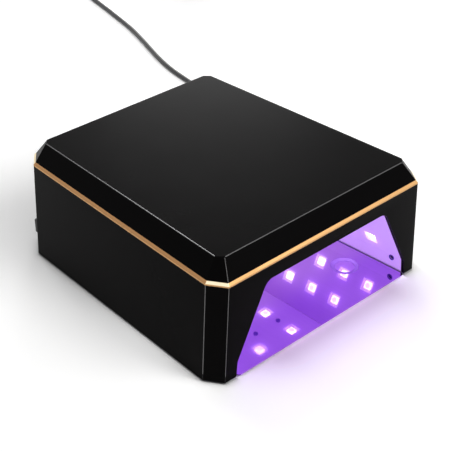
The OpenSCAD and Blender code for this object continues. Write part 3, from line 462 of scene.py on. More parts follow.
def combedFinish(name, look):
    # metal with fine lines along one axis, which raise it, and smudges that dull it; also gives its parts for colouring
    material, tree, shader, place = startMaterial(name)
    stretch = addNode(tree, "Mapping", {"Vector": place, "Scale": look["lines"]}).outputs[0]
    lines = noise(stretch, 1.0, look["detail"])
    dulled = group(tree, smudges, {"Vector": place, "Scale": look["smudgeScale"], "Roughness": look["roughness"],
        "Amount": look["smudge"]})
    feed(shader, {"Roughness": dulled["Roughness"], "Normal": bumped(lines, look["bump"]),
        "Metallic": look["metallic"]})
    return material, shader, place, mixColour(lines, look["colour"], look["pale"])


print("camera, mesh and shader helpers ready")

leadLook = {"colour": (0.012, 0.012, 0.0125), "roughness": 0.36, "specular": 0.45, "grainScale": 900.0,
    "bump": 0.12, "drift": 1.5, "dust": 0.03}
blackVinyl = plainFinish("blackVinyl", leadLook)
lead = {"diameter": 4.0, "sides": 16, "spanCuts": 4, "turnCuts": 48, "coilMiddle": (272.0, 498.0), "coilRadius": 24.0,
    "turns": 6.25, "pitch": 4.5, "low": 3.0}
runPoints = [
    (78, 107.8065, 11.8), (82, 107.8065, 11.8), (86, 107.8065, 11.8), (95, 108.8, 10.6), (104, 110.5, 8.6),
    (116, 115, 5.6), (127, 121.5, 3.4), (137, 130, 2.2), (146, 141, 2), (154, 155, 2), (160, 170, 2), (164.5, 187, 2),
    (167.5, 203, 2), (170, 219.3, 2), (172, 232.5, 2), (174.3, 245.8, 2), (178, 261, 2), (182.5, 275.8, 2),
    (187.6, 290.5, 2), (192.9, 305, 2), (198, 319.3, 2), (202.8, 333.6, 2), (207.1, 348, 2), (211, 363.7, 2),
    (214.8, 380, 2), (218.5, 396, 2), (222, 412, 2), (225.2, 427.4, 2), (229, 443, 2), (233.3, 458, 2.2),
    (237.6, 472, 2.6), (240.96875, 486, 3), (240.96875, 490, 3), (240.96875, 494, 3),
]
coilOut = lead["coilRadius"] + lead["turns"] / 4 * lead["pitch"]
coilAlong = np.arange(round(lead["turns"] * lead["turnCuts"]) + 1) / lead["turnCuts"]
coilMid = lead["turns"] / 2
coilReach = coilOut - lead["pitch"] * (coilMid - np.abs(coilAlong - coilMid))  # in to the middle turn, and out again
coilLift = np.clip((coilAlong - coilMid) * 2 + 0.5, 0, 1)  # the second layer lies on the first
coilTurn = np.pi - 2 * np.pi * coilAlong
coilPath = np.stack([lead["coilMiddle"][0] + coilReach * np.cos(coilTurn),
    lead["coilMiddle"][1] + coilReach * np.sin(coilTurn), lead["low"] + lead["pitch"] * coilLift], 1)
tailPoints = [
    (276, 529.03125, 7.5), (280, 529.03125, 7.5), (284, 529.03125, 7.5), (293, 529, 7.5), (303, 527.8, 7.6),
    (312.5, 524.5, 8), (321, 519, 8.5), (328, 511.5, 9.1), (332.5, 503, 9.6), (334.6, 493, 9.9), (335, 483, 10),
    (335, 474, 10), (335, 470, 10), (335, 466, 10),
]
leadPath = np.vstack([smoothPath(runPoints, lead["spanCuts"]), coilPath, smoothPath(tailPoints, lead["spanCuts"])])
leadPiece = piece("lead", loft(tubeRings(leadPath, lead["diameter"] / 2, lead["sides"])), blackVinyl,
    replaced=("cord_run", "cord_coil", "cord_tail"), weighted=False)

body = {"frontWidth": 190.0, "backWidth": 171.0, "depth": 206.0, "rim": 1.3, "wall": 70.0,
    "wallThick": 2.4, "cornerX": 8.7, "cornerY": 11.9, "edge": 1.2, "frontY": -104.7935}
trim = {"height": 2.6, "face": 1.1, "step": 1.5, "width": 4.0, "lip": 2.0, "edge": 0.25, "edgeSteps": 4,
    "innerCorner": 0.5}
cover = {"height": 12.1, "run": 8.6, "corner": 4.05, "thick": 2.4, "edge": 1.2, "edgeSteps": 8, "skirtLow": 3.0,
    "skirtThick": 1.5, "seat": 0.1, "skirtHigh": 3.0, "skirtCorner": 0.4}
narrowing = (body["frontWidth"] - body["backWidth"]) / 2 / body["depth"]
rimTop = body["rim"] + body["wall"]
trimTop = rimTop + trim["height"]
lampTop = trimTop + cover["height"]


def planCorners(inset=0, cutX=body["cornerX"], cutY=body["cornerY"]):
    # corners of the body's plan: narrower to the back, with cut corners
    half, back = body["frontWidth"] / 2, body["depth"] - inset
    slide = inset * math.sqrt(1 + narrowing**2)
    front, rear = half - slide - narrowing * inset, half - slide - narrowing * back
    return [
        (-front + cutX, inset), (front - cutX, inset),
        (front - narrowing * cutY, inset + cutY), (rear + narrowing * cutY, back - cutY),
        (rear - cutX, back), (-rear + cutX, back),
        (-rear - narrowing * cutY, back - cutY), (-front + narrowing * cutY, inset + cutY),
    ]


def wallRing(height, inset, radius):
    # the body's plan drawn in by the inset, at one height
    return raised(easedOutline(planCorners(), -inset, radius), height) + (0, body["frontY"], 0)


def roundedProfile(corners, radii):
    # an anticlockwise closed profile of (inset, height) corners, each turned on its own arc
    corners = np.asarray(corners, float)
    made = []
    for i, radius in enumerate(radii):
        p, a, b = corners[i], corners[i - 1], corners[(i + 1) % len(corners)]
        if not radius:
            made.append(p[None])
            continue
        da, db = (a - p) / np.linalg.norm(a - p), (b - p) / np.linalg.norm(b - p)
        half = math.acos(np.clip(da @ db, -1, 1)) / 2
        cut = radius / math.tan(half)
        middle = p + (da + db) / np.linalg.norm(da + db) * radius / math.sin(half)
        t = np.linspace(0, 1, trim["edgeSteps"] + 1)[:, None]
        arc = (p + da * cut - middle) * (1 - t) + (p + db * cut - middle) * t
        made.append(middle + arc / np.linalg.norm(arc, axis=1)[:, None] * radius)
    return np.vstack(made)


glossLook = {"colour": (0.0016, 0.0014, 0.0015), "roughness": 0.26, "spread": 0.06, "specular": 0.018,
    "grainScale": 1400.0, "bump": 0.05, "dust": 0.004, "drift": 1.35}
blackGloss = plainFinish("blackGloss", glossLook)
wallLook = {**glossLook, "colour": (0.0026, 0.0023, 0.0024), "specular": 0.019}
blackWall = plainFinish("blackGlossWall", wallLook)  # the walls' black is a little lighter than the lid's, with a little more specular
edgeHighlightLook = {"colour": (0.03, 0.029, 0.03), "roughness": 0.24, "spread": 0.05, "specular": 0.03, "grainScale": 1400.0,
    "bump": 0.03, "dust": 0.0, "front": -0.080, "top": 0.078, "foot": 0.006, "coatRoughness": 0.2, "coatIor": 1.9}
edgeHighlight = plainFinish("blackGlossEdge", edgeHighlightLook)  # eased edges are lighter than the faces, a painted highlight, under a coat that reflects the lamps
shader = edgeHighlight.node_tree.nodes["Principled BSDF"]
spot = axes(objectPlace(edgeHighlight.node_tree))
frontOrTop = most(below(spot[1], edgeHighlightLook["front"]), above(spot[2], edgeHighlightLook["top"]))
feed(shader, {"Coat Weight": times(frontOrTop, above(spot[2], edgeHighlightLook["foot"])),  # the coat is only on edges at the front or top, and not near the foot
    "Coat Roughness": edgeHighlightLook["coatRoughness"], "Coat IOR": edgeHighlightLook["coatIor"]})

footOutline = easedOutline(planCorners(), -trim["step"], body["edge"])
lidOutline = easedOutline(planCorners(trim["step"] + cover["run"], cover["corner"], cover["corner"]), 0, body["edge"])


def coverRing(run, height):
    # a ring of the lid's slope: the straight way from the foot's outline to the top's, by the run inwards
    share = run / cover["run"]
    return raised(footOutline * (1 - share) + lidOutline * share, height) + (0, body["frontY"], 0)


slope = math.atan(cover["height"] / cover["run"])
tangent = cover["edge"] * math.tan(slope / 2)
falls = slope * (1 - np.arange(cover["edgeSteps"] + 1) / cover["edgeSteps"])
coverSide = cover["thick"] / math.sin(slope)
innerTop = lampTop - cover["thick"]
coverRings = [coverRing(coverSide + (innerTop - trimTop) / math.tan(slope), innerTop), coverRing(coverSide, trimTop),
    coverRing(0, trimTop)]
coverRings += [coverRing(cover["run"] + tangent - cover["edge"] * math.sin(f),
    lampTop - cover["edge"] * (1 - math.cos(f))) for f in falls]
skirtIn, skirtOut = trim["width"] + cover["seat"], trim["width"] + cover["seat"] + cover["skirtThick"]
skirtBottom, skirtTop = trimTop - cover["skirtLow"], trimTop + cover["skirtHigh"]
skirtRings = [wallRing(z, inset, cover["skirtCorner"]) for inset, z in (
    (skirtIn, skirtBottom), (skirtIn, skirtTop), (skirtOut, skirtTop), (skirtOut, skirtBottom))]
coverShape = together(loft(coverRings), loft(skirtRings, closed=True))
outlineCount = len(footOutline)
easedBands = np.zeros(len(coverShape[1]), int)
corner, step = np.divmod(np.arange(outlineCount), arcSteps + 1)
# the middle of the eased rim takes the lighter edge material, a painted highlight under a coat that reflects the lamps,
# along the four long sides, and so do the arcs at the ends of the front and the back slope
easedBands[5 * outlineCount:9 * outlineCount] = np.tile((step == arcSteps) & (corner % 2 == 0), 4)
easedBands[2 * outlineCount:3 * outlineCount] = np.isin(corner, (0, 1, 4, 5)) & np.isin(step, (2, 3))
piece("topCover", coverShape, blackGloss, replaced=("top_cover",), edgeMaterial=edgeHighlight,
    edgeFaces=easedBands)

trimProfile = roundedProfile(
    [(0, rimTop), (0, rimTop + trim["face"]), (trim["step"], trimTop), (trim["width"], trimTop),
        (trim["width"], rimTop - trim["lip"]), (body["wallThick"] + cover["seat"], rimTop - trim["lip"]),
        (body["wallThick"] + cover["seat"], rimTop)],
    [trim["edge"], trim["edge"], trim["edge"], 0, 0, 0, 0])
goldLook = {"colour": (0.58, 0.31, 0.11), "pale": (0.70, 0.40, 0.16), "roughness": 0.42, "metallic": 0.62,
    "sideShade": (0.30, 0.13, 0.05), "sideShadeShare": 0.6, "cornerSheen": (1.0, 0.86, 0.60), "cornerSheenShare": 1.0, "leaning": 0.4,
    "sideways": 0.63, "cornerwise": 0.15, "lines": (14.0, 14.0, 5200.0), "detail": 5.0, "bump": 0.12,
    "smudgeScale": 35.0, "smudge": 0.08}
bandGold, shader, place, gold = combedFinish("brushedGold", goldLook)
bare = facing(bandGold.node_tree)
sideways, endways, leaning = size(bare[0]), size(bare[1]), above(bare[2], goldLook["leaning"])
# painted shade and painted reflection: by the way each face turns, the sloping faces of the sides are painted browner
# and those of the cut corners paler
sideShade = times(above(sideways, goldLook["sideways"]), leaning, goldLook["sideShadeShare"])
pale = times(above(times(sideways, endways), goldLook["cornerwise"]), leaning, goldLook["cornerSheenShare"])
gold = mixColour(sideShade, gold, goldLook["sideShade"])
feed(shader, {"Base Color": mixColour(pale, gold, goldLook["cornerSheen"])})
piece("goldTrim", loft([wallRing(z, inset, trim["innerCorner"] if inset > body["wallThick"] else body["edge"])
    for inset, z in trimProfile], closed=True), bandGold, replaced=("gold_trim",))

shellPiece = dressed("body_shell", blackWall, bevel=0.7, name="bodyShell", edgeMaterial=edgeHighlight)
# the middle strips of the rounded upright corners take the edge material too: lighter, a painted highlight, under a
# coat that reflects the lamps
strip = {"tall": 0.05, "area": 30.0, "skewed": 0.2, "mostSkewed": 0.48}
uprights = []
for face in shellPiece.data.polygons:
    heights = [shellPiece.data.vertices[i].co.z for i in face.vertices]
    skew = min(abs(face.normal.x), abs(face.normal.y))
    uprights.append(max(heights) - min(heights) > strip["tall"] and face.area < strip["area"] * milli**2
        and strip["skewed"] < skew < strip["mostSkewed"])
shellPiece.data.polygons.foreach_set("material_index", np.array(uprights, np.int32))
print("strips that round the upright corners:", sum(uprights))
print("shell, cover and trim made")

hand = {"kneeHalf": 79.0, "lean": 24.5, "knee": 12.3, "foot": 1.0, "top": 61.6, "fall": 1.5, "liner": 2.0,
    "spaceDepth": 168.0, "rows": (22.3, 43.4), "sideFirst": 24.5, "sideLast": 35.0, "sideCount": 5,
    "roofFirst": 59.5, "roofLast": 14.0, "roofRows": 4, "roofHalf": 32.5}
light = {"width": 5.0, "height": 1.6, "well": 2.05, "sides": 32, "dome": 0.35, "domeShare": 0.94, "domeFoot": 0.1,
    "domeFootGap": 0.05, "domeLift": 0.08, "domeGap": 0.06, "bezel": 0.15, "bezelIn": 0.12, "wellDeep": 0.7,
    "wellTaper": 0.35}
ceilingZ = hand["top"] - 0.1
wallSlope = hand["lean"] / (hand["top"] - hand["knee"])
turnBack = math.atan(narrowing)
wallTurn = math.atan(wallSlope * math.cos(turnBack))
sidePitch = (hand["spaceDepth"] - hand["sideLast"] - hand["sideFirst"]) / hand["sideCount"]
roofPitch = (hand["spaceDepth"] - hand["roofLast"] - hand["roofFirst"]) / (hand["roofRows"] - 0.5)


def turning(axis, angle):
    # a turn about X, Y or Z as a matrix
    c, s = math.cos(angle), math.sin(angle)
    return np.array({"X": [[1, 0, 0], [0, c, -s], [0, s, c]], "Y": [[c, 0, s], [0, 1, 0], [-s, 0, c]],
        "Z": [[c, -s, 0], [s, c, 0], [0, 0, 1]]}[axis])


wallMatrix = turning("Z", turnBack) @ turning("Y", math.pi / 2 - wallTurn)
roofMatrix = turning("X", -math.radians(hand["fall"]))
wallOrigin = np.array([hand["kneeHalf"] - (ceilingZ - hand["knee"]) * wallSlope, body["frontY"], ceilingZ])
roofOrigin = np.array([0, body["frontY"], ceilingZ])
sideSpots = np.array([(row, hand["sideFirst"] + (i + 1 - k) * sidePitch)
    for k, row in enumerate(hand["rows"]) for i in range(hand["sideCount"])])
roofSpots = np.array([(x, hand["roofFirst"] + i * roofPitch)
    for x in (-hand["roofHalf"], 0, hand["roofHalf"]) for i in range(hand["roofRows"])])


def squareRing(half, depth):
    # points at equal angles on a square's outline
    cosine, sine = around(light["sides"])
    reach = half / np.maximum(np.abs(cosine), np.abs(sine))
    return raised(np.stack([reach * cosine, reach * sine], 1), depth)


def circleRing(radius, depth):
    # points at equal angles on a circle
    return raised(np.stack(around(light["sides"]), 1) * radius, depth)


def atSpots(rings, spots, matrix, origin):
    # the same small form at every spot of a wall, facing into the hand space
    rings = np.asarray(rings)
    placed = rings[None] + np.concatenate([spots, np.full((len(spots), 1), hand["liner"])], 1)[:, None, None]
    placed = placed @ matrix.T + origin
    faces = [face[::-1] for face in loft(placed[0])[1]]
    return together(*[(form.reshape(-1, 3), faces) for form in placed])


front, lightHalf = -light["height"], light["width"] / 2
packageRings = [squareRing(lightHalf, 0), squareRing(lightHalf, front + light["bezel"]),
    squareRing(lightHalf - light["bezelIn"], front), circleRing(light["well"], front),
    circleRing(light["well"] - light["wellTaper"], front + light["wellDeep"])]
domeRadius, domeFoot = light["well"] - light["domeGap"], front + light["domeLift"]
domeRings = [circleRing(light["well"] - light["domeFootGap"], front + light["domeFoot"])] + [
    circleRing(domeRadius * math.cos(a), domeFoot - light["dome"] * math.sin(a))
    for a in np.linspace(0, math.pi / 2 * light["domeShare"], 5)]

ceramicLook = {"colour": (0.78, 0.74, 0.8), "roughness": 0.45, "grainScale": 3000.0, "bump": 0.08, "dust": 0.0,
    "drift": 1.06, "glow": (0.84, 0.98, 0.94), "strength": 3.9}
ceramic = plainFinish("lightCeramic", ceramicLook)
glowLook = {"middle": (0.88, 0.68, 1.0), "edge": (0.70, 0.45, 1.0), "strength": 3.2, "roughness": 0.15,
    "resin": (0.9, 0.8, 0.5), "paleResin": (0.8, 0.7, 0.9), "speckleScale": 1600.0, "speckle": 0.6}
lensGlow, tree, shader, place = startMaterial("violetLens")
speckle = addNode(tree, "TexVoronoi",
    {"Vector": place, "Scale": glowLook["speckleScale"]}).outputs["Distance"]
speckled = calc("MULTIPLY", speckle, glowLook["speckle"], clamp=True)
feed(shader, {"Emission Color": mixColour(speckled, glowLook["middle"], glowLook["edge"]),
    "Emission Strength": glowLook["strength"], "Roughness": glowLook["roughness"],
    "Base Color": mixColour(speckle, glowLook["resin"], glowLook["paleResin"])})

roof, wall = (roofSpots, roofMatrix, roofOrigin), (sideSpots, wallMatrix, wallOrigin)
for side, places in (("ceiling", roof), ("right", wall), ("left", wall)):
    base, dome = atSpots(packageRings, *places), atSpots(domeRings, *places)
    if side == "left":
        base, dome = mirrored(base), mirrored(dome)
    piece(side + "Lights", base, ceramic, replaced=(side + "_leds",))
    piece(side + "Lenses", dome, lensGlow, weighted=False)
print("light packages and lenses made")

linerLook = {"colour": (0.42, 0.38, 0.50), "paleColour": (0.50, 0.46, 0.56), "glow": (0.66, 0.34, 1.06),
    "paleGlow": (0.58, 0.29, 1.02), "halo": (0.80, 0.52, 1.0), "haloStrength": 2.4, "deep": (0.34, 0.08, 0.74),
    "deepen": 0.85, "deepHigh": (0.036, 0.056), "deepInner": (-0.086, -0.056), "strength": 0.55, "roughness": 0.42,
    "reach": 0.0044, "foot": 0.002, "shadeHeight": 0.0035, "backShadeHeight": 0.0021, "shadeLeast": 0.12, "hazeScale": 18.0,
    "grainScale": 1800.0, "spread": 0.1, "bump": 0.08, "specular": 0.4}


def paintedLightSatin(name, rows, lift=(1.0, 1.0, 1.0), shadeHeight=linerLook["shadeHeight"], bothSides=False):
    # white satin with painted violet light: an emitted glow that drifts, a painted halo around the lamps of each row,
    # and painted shade where it meets the tray; the one for both side walls takes its rows mirrored too, and has a
    # painted deeper violet shade high up inside
    material, tree, shader, place = startMaterial(name)
    haze = noise(place, linerLook["hazeScale"], 3.0)
    x, y, z = axes(place)
    lit = mixColour(haze, *[[a * b for a, b in zip(linerLook[key], lift)] for key in ("glow", "paleGlow")])
    if rows:
        side = addNode(tree, "CombineXYZ", {0: size(x) if bothSides else x, 1: y, 2: z}).outputs[0]
        total = plus(*[group(tree, halo, {"Vector": side, "Reach": linerLook["reach"], **row})["Value"]
            for row in rows])
        lit = vector("ADD", lit, vector("SCALE", linerLook["halo"], times(total, linerLook["haloStrength"])))
    # painted shade: a deeper violet high up and further inside the side walls
    if bothSides:
        high = ramp(z, *linerLook["deepHigh"], 0.0, linerLook["deepen"], soft=True)
        lit = mixColour(times(high, ramp(y, *linerLook["deepInner"], soft=True)), lit, linerLook["deep"])
    # painted shade: the glow dims towards the foot, where the wall meets the tray
    lit = vector("SCALE", lit, ramp(z, linerLook["foot"], shadeHeight, linerLook["shadeLeast"], 1.0, soft=True))
    fine = group(tree, grain, {"Vector": place, "Scale": linerLook["grainScale"], "Roughness": linerLook["roughness"],
        "Spread": linerLook["spread"]})
    feed(shader, {"Base Color": mixColour(haze, linerLook["colour"], linerLook["paleColour"]),
        "Emission Color": lit, "Emission Strength": linerLook["strength"], "Roughness": fine["Roughness"],
        "Normal": bumped(fine["Height"], linerLook["bump"]), "Specular IOR Level": linerLook["specular"]})
    return material


def rowOf(matrix, origin, row, first, pitch, low, high):
    # a row of lamps for the halo group: its wall's place and directions, its own place, and its first and last lamp
    return {"Origin": tuple(origin * milli), "Across": tuple(matrix[:, 0]), "Along": tuple(matrix[:, 1]),
        "Row": row * milli, "First": first * milli, "Pitch": pitch * milli, "Low": low, "High": high}


sideRows = [rowOf(wallMatrix, wallOrigin, row, hand["sideFirst"], sidePitch, 1.0 - k, hand["sideCount"] - float(k))
    for k, row in enumerate(hand["rows"])]
roofRows = [rowOf(roofMatrix, roofOrigin, x, hand["roofFirst"], roofPitch, 0.0, hand["roofRows"] - 1.0)
    for x in (-hand["roofHalf"], 0, hand["roofHalf"])]
satinWalls = paintedLightSatin("satinWalls", sideRows, bothSides=True)
satinCeiling = paintedLightSatin("satinCeiling", roofRows, (0.95, 0.90, 0.98))
satinBack = paintedLightSatin("satinBack", [], (1.15, 1.1, 0.92), linerLook["backShadeHeight"])
for node, finish in (("ceiling_reflector", satinCeiling), ("left_reflector", satinWalls),
        ("right_reflector", satinWalls), ("back_reflector", satinBack)):
    dressed(node, finish, bevel=None, flats=12.0)

# a dark grommet around each hand sensor's lens, which glows a little violet, painted light
grommet = {"x": 78.75, "y": -94.09, "z": 10.4, "radius": 2.3, "hole": 1.3, "proud": 0.3}
grommetLook = {"colour": (0.020, 0.008, 0.06), "roughness": 0.3, "grainScale": 2600.0, "bump": 0.05, "dust": 0.0,
    "glow": (0.14, 0.04, 1.0), "strength": 0.22}
grommetShape = washer([(grommet["hole"], 0.3), (grommet["radius"], 0.3), (grommet["radius"], -0.1),
    (grommet["radius"] - 0.25, -grommet["proud"]), (grommet["hole"] + 0.2, -grommet["proud"]), (grommet["hole"], -0.1)],
    (grommet["x"], grommet["y"], grommet["z"]), "X")
piece("sensorGrommets", together(grommetShape, mirrored(grommetShape)), plainFinish("sensorGrommet", grommetLook))

mirrorLook = {"colour": (0.49, 0.27, 0.74), "pale": (0.53, 0.30, 0.78), "rear": (0.62, 0.45, 0.73),
    "rearFrom": (-0.084, -0.050), "roughness": 0.03, "metallic": 1.0, "lines": (900.0, 18.0, 900.0), "detail": 4.0,
    "bump": 0.02, "smudgeScale": 24.0, "smudge": 0.05, "dish": (0.74, 0.52, 0.95), "dishLow": 0.00145,
    "dishHigh": 0.0019, "dishShare": 0.55}
# painted reflection: the mirror is coloured violet for the violet light it reflects, and paler towards its rear
mirror, shader, place, violetMirror = combedFinish("mirrorTray", mirrorLook)
spot = axes(place)
violetMirror = mixColour(ramp(spot[1], *mirrorLook["rearFrom"], soft=True), violetMirror, mirrorLook["rear"])
# the floors of the stamped places, which lie lower than the plate, are painted paler, a painted reflection
dish = ramp(spot[2], mirrorLook["dishLow"], mirrorLook["dishHigh"], mirrorLook["dishShare"], 0.0)
feed(shader, {"Base Color": mixColour(dish, violetMirror, mirrorLook["dish"])})
pressedLook = {"colour": (0.17, 0.12, 0.30), "slope": (0.37, 0.20, 0.60), "roughness": 0.38, "metallic": 1.0,
    "grainScale": 2400.0, "bump": 0.1, "dust": 0.0, "upright": 0.2, "lying": 0.6}
pressedEdge = plainFinish("trayEdge", pressedLook)  # cut edges are painted dark violet and stamped slopes a lighter violet, duller than the mirror: painted shade and painted violet light
lying = ramp(size(facing(pressedEdge.node_tree)[2]), pressedLook["upright"], pressedLook["lying"])
feed(pressedEdge.node_tree.nodes["Principled BSDF"],
    {"Base Color": mixColour(lying, pressedLook["colour"], pressedLook["slope"])})
dressed("tray", mirror, body="tray", bevel=None, name="trayPlate", edgeMaterial=pressedEdge, flats=30.0)
rubberLook = {"colour": (0.016, 0.016, 0.017), "roughness": 0.75, "specular": 0.3, "grainScale": 1600.0, "bump": 0.3}
dressed("tray_pads", plainFinish("blackRubber", rubberLook), body="tray", bevel=0.15, name="trayPads")
print("reflectors and tray made")

switchLook = {"colour": (0.011, 0.011, 0.012), "roughness": 0.42, "specular": 0.4, "grainScale": 1800.0, "bump": 0.2}
switchPlastic = plainFinish("switchPlastic", switchLook)
dressed("switch_housing", switchPlastic, bevel=0.2, name="switchHousing")
dressed("switch_rocker", switchPlastic, body="rocker", bevel=0.2, name="switchRocker")
dressed("power_jack", switchPlastic, bevel=0.15, name="powerJack")
dressed("plug", blackVinyl, bevel=0.4, name="plugBody")
port = {"x": -71.3, "z": 11.8, "bezelY": 103.2065}
collar = {"half": (7.5, 5.5), "hole": (6.45, 4.9), "low": -0.9, "high": 3.3, "round": 0.7, "lip": 0.25,
    "innerLip": 0.15, "innerRound": 0.25, "lipRound": 0.4}


def portRing(halves, depth, radius):
    # a rounded rectangle around the switch, depth behind the bezel's face
    flat = easedOutline([(-halves[0], -halves[1]), (halves[0], -halves[1]), (halves[0], halves[1]),
        (-halves[0], halves[1])], 0, radius)
    return np.stack([port["x"] - flat[:, 0], np.full(len(flat), port["bezelY"] + depth), port["z"] + flat[:, 1]], 1)


outerHalf, innerHalf = np.array(collar["half"]), np.array(collar["hole"])
collarRings = [portRing(*ring) for ring in (
    (outerHalf, collar["low"], collar["round"]), (outerHalf, collar["high"] - collar["lip"], collar["round"]),
    (outerHalf - collar["lip"], collar["high"], collar["round"] - collar["lip"]),
    (innerHalf + collar["innerLip"], collar["high"], collar["lipRound"]),
    (innerHalf, collar["high"] - collar["innerLip"], collar["innerRound"]),
    (innerHalf, collar["low"], collar["innerRound"]))]
piece("switchGuard", outward(loft(collarRings, closed=True)), switchPlastic)

# moulded marks on the two halves of the rocker: a bar and a ring
rocking = {"half": math.radians(12), "vee": 2.8, "pivotY": 101.0065, "markOut": 3.3, "bar": (0.32, 1.5),
    "ring": (1.0, 1.5), "proud": 0.12, "sunk": -0.2}
markLook = {"colour": (0.72, 0.72, 0.70), "roughness": 0.5, "grainScale": 2600.0, "bump": 0.1, "dust": 0.0}


def onRocker(shape, side):
    # places (along, up, out) points of a half of the rocker's face; the rocker rests turned by its half angle
    local, faces = shape
    half = rocking["half"]
    tangent = np.array([side * math.cos(half), math.sin(half), 0])
    normal = np.array([-side * math.sin(half), math.cos(half), 0])
    spot = np.array([0, rocking["vee"], 0]) + tangent * rocking["markOut"]
    placed = spot + local[:, :1] * tangent + local[:, 1:2] * np.array([0, 0, 1]) + local[:, 2:] * normal
    return outward((placed @ turning("Z", -half).T + (port["x"], rocking["pivotY"], port["z"]), faces))


barHalf, barTall = rocking["bar"]
barRing = np.array([(-barHalf, -barTall), (barHalf, -barTall), (barHalf, barTall), (-barHalf, barTall)])
barShape = loft([raised(barRing, rocking["sunk"]), raised(barRing, rocking["proud"])])
ringIn, ringOut = rocking["ring"]
ringShape = washer([(ringIn, rocking["sunk"]), (ringOut, rocking["sunk"]), (ringOut, rocking["proud"]),
    (ringIn, rocking["proud"])], (0, 0, 0), "Z", 36)
piece("rockerMarks", together(onRocker(barShape, 1), onRocker(ringShape, -1)), plainFinish("markWhite", markLook),
    body="rocker")

# ribs that let the plug's strain relief bend
relief = {"start": 58.0, "end": 78.0, "wide": 4.0, "narrow": 2.8, "y": 107.8065, "ribs": 6, "firstRib": 60.4,
    "lastRib": 75.8, "rib": [(-0.5, -0.9), (0.35, -0.75), (0.5, -0.5), (0.5, 0.5), (0.35, 0.75), (-0.5, 0.9)]}
ribShapes = []
for at in np.linspace(relief["firstRib"], relief["lastRib"], relief["ribs"]):
    radius = np.interp(at, (relief["start"], relief["end"]), (relief["wide"], relief["narrow"]))
    ribShapes.append(washer(relief["rib"] + np.array([radius, 0]), (at, relief["y"], port["z"]), "X", 36))
piece("plugRibs", together(*ribShapes), blackVinyl)

adapterLook = {"colour": (0.017, 0.017, 0.018), "roughness": 0.55, "specular": 0.45, "grainScale": 1300.0,
    "bump": 0.35, "depth": 0.0002}
casePiece = dressed("adapter_case", plainFinish("sparkedBlack", adapterLook), bevel=0.4,
    name="adapterCase")
tieLook = {"colour": (0.03, 0.03, 0.033), "roughness": 0.9, "specular": 0.2, "grainScale": 2200.0, "bump": 0.6,
    "depth": 0.0003}
tiePiece = dressed("cord_tie", plainFinish("tieFabric", tieLook), bevel=0.3, name="leadTie")

# finishes of the nodes that keep their CAD meshes; the light boards and the screws that show through the ceiling glow
# violet, painted light
insideLook = {"roughness": 0.45, "grainScale": 1500.0, "dust": 0.0}
carriedLooks = {
    "boardWhite": {"colour": (0.62, 0.62, 0.64), "roughness": 0.5, "glow": (0.70, 0.45, 1.0), "strength": 0.75},
    "screwBlack": {"colour": (0.03, 0.03, 0.034), "roughness": 0.35, "metallic": 0.8, "grainScale": 2600.0,
        "bump": 0.15, "dust": 0.02},
    "screwLit": {"colour": (0.06, 0.04, 0.12), "roughness": 0.35, "grainScale": 2600.0, "bump": 0.15,
        "glow": (0.3, 0.1, 1.0), "strength": 0.4},
    "circuitGreen": {"colour": (0.012, 0.09, 0.035), "roughness": 0.4, "grainScale": 1200.0},
    "partsDark": {"colour": (0.045, 0.047, 0.05), "bump": 0.15, "dust": 0.02},
    "brass": {"colour": (0.70, 0.50, 0.22), "roughness": 0.32, "metallic": 1.0, "grainScale": 2000.0},
    "wireRed": {"colour": (0.42, 0.03, 0.025)},
    "wireWhite": {"colour": (0.66, 0.64, 0.62)},
    "sensorEpoxy": {"colour": (0.02, 0.012, 0.03), "roughness": 0.12, "bump": 0.02},
    "nickelSteel": {"colour": (0.62, 0.62, 0.64), "roughness": 0.28, "metallic": 1.0, "grainScale": 2400.0,
        "bump": 0.06, "drift": 1.08},
}
carried = {
    "switchPlastic": ["bottom_cover"], "blackRubber": ["feet"], "sparkedBlack": ["adapter_cover"],
    "boardWhite": ["ceiling_board", "left_board", "right_board"], "screwBlack": ["cover_screws"],
    "screwLit": ["ceiling_screws", "board_screws"], "circuitGreen": ["control_board"],
    "partsDark": ["control_parts"], "brass": ["board_spacers", "switch_terminals"],
    "sensorEpoxy": ["sensor_emitter", "sensor_receiver"], "wireRed": ["power_wires"],
    "wireWhite": ["light_wires", "sensor_wires"], "nickelSteel": ["jack_nut", "tray_magnets", "adapter_blades"],
}
for name, look in carriedLooks.items():
    plainFinish(name, {**insideLook, **look})
for name, nodes in carried.items():
    for node in nodes:
        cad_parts[node].data.materials.clear()
        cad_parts[node].data.materials.append(bpy.data.materials[name])
print("carried-over nodes finished")

floorLook = {"colour": (0.86, 0.86, 0.86), "shown": (1.36, 1.36, 1.36), "size": 8.0}
spillLook = {"colour": (0.56, 0.50, 0.49), "reach": 0.026, "farReach": 0.060, "left": 0.037, "right": 0.057,
    "rightFall": 1.5, "sides": 1100.0, "rear": 0.006, "rearStart": 4.0, "lip": (3.0, 2.9, 3.4), "lipReach": 0.0019,
    "lipStart": (-0.065, -0.030), "lipEnd": (0.045, 0.075), "lipLeast": 0.35}
contact = {"half": 0.0976, "reach": 0.0022, "depth": 0.55, "colour": (0.03, 0.03, 0.03), "mouth": 0.0795,
    "lift": 0.78, "liftReach": 0.010, "liftAt": -0.045, "liftSpread": 0.060, "liftOutside": (0.070, 0.090)}
roomLook = {"colour": (0.13, 0.08, 0.34), "half": 0.0795, "mouth": -0.1045, "inside": -0.098, "back": 0.064}
farLook = {"middle": (0.12, 0.20), "near": 0.75, "far": 1.25}
castLook = {"middle": (-0.045, 0.135), "spread": 0.045, "depth": 0.24}
floorMesh = bpy.data.meshes.new("floor")
half = floorLook["size"] / 2
floorMesh.from_pydata([(-half, -half, 0), (half, -half, 0), (half, half, 0), (-half, half, 0)], [], [(0, 1, 2, 3)])
floor = newObject("floor", floorMesh)


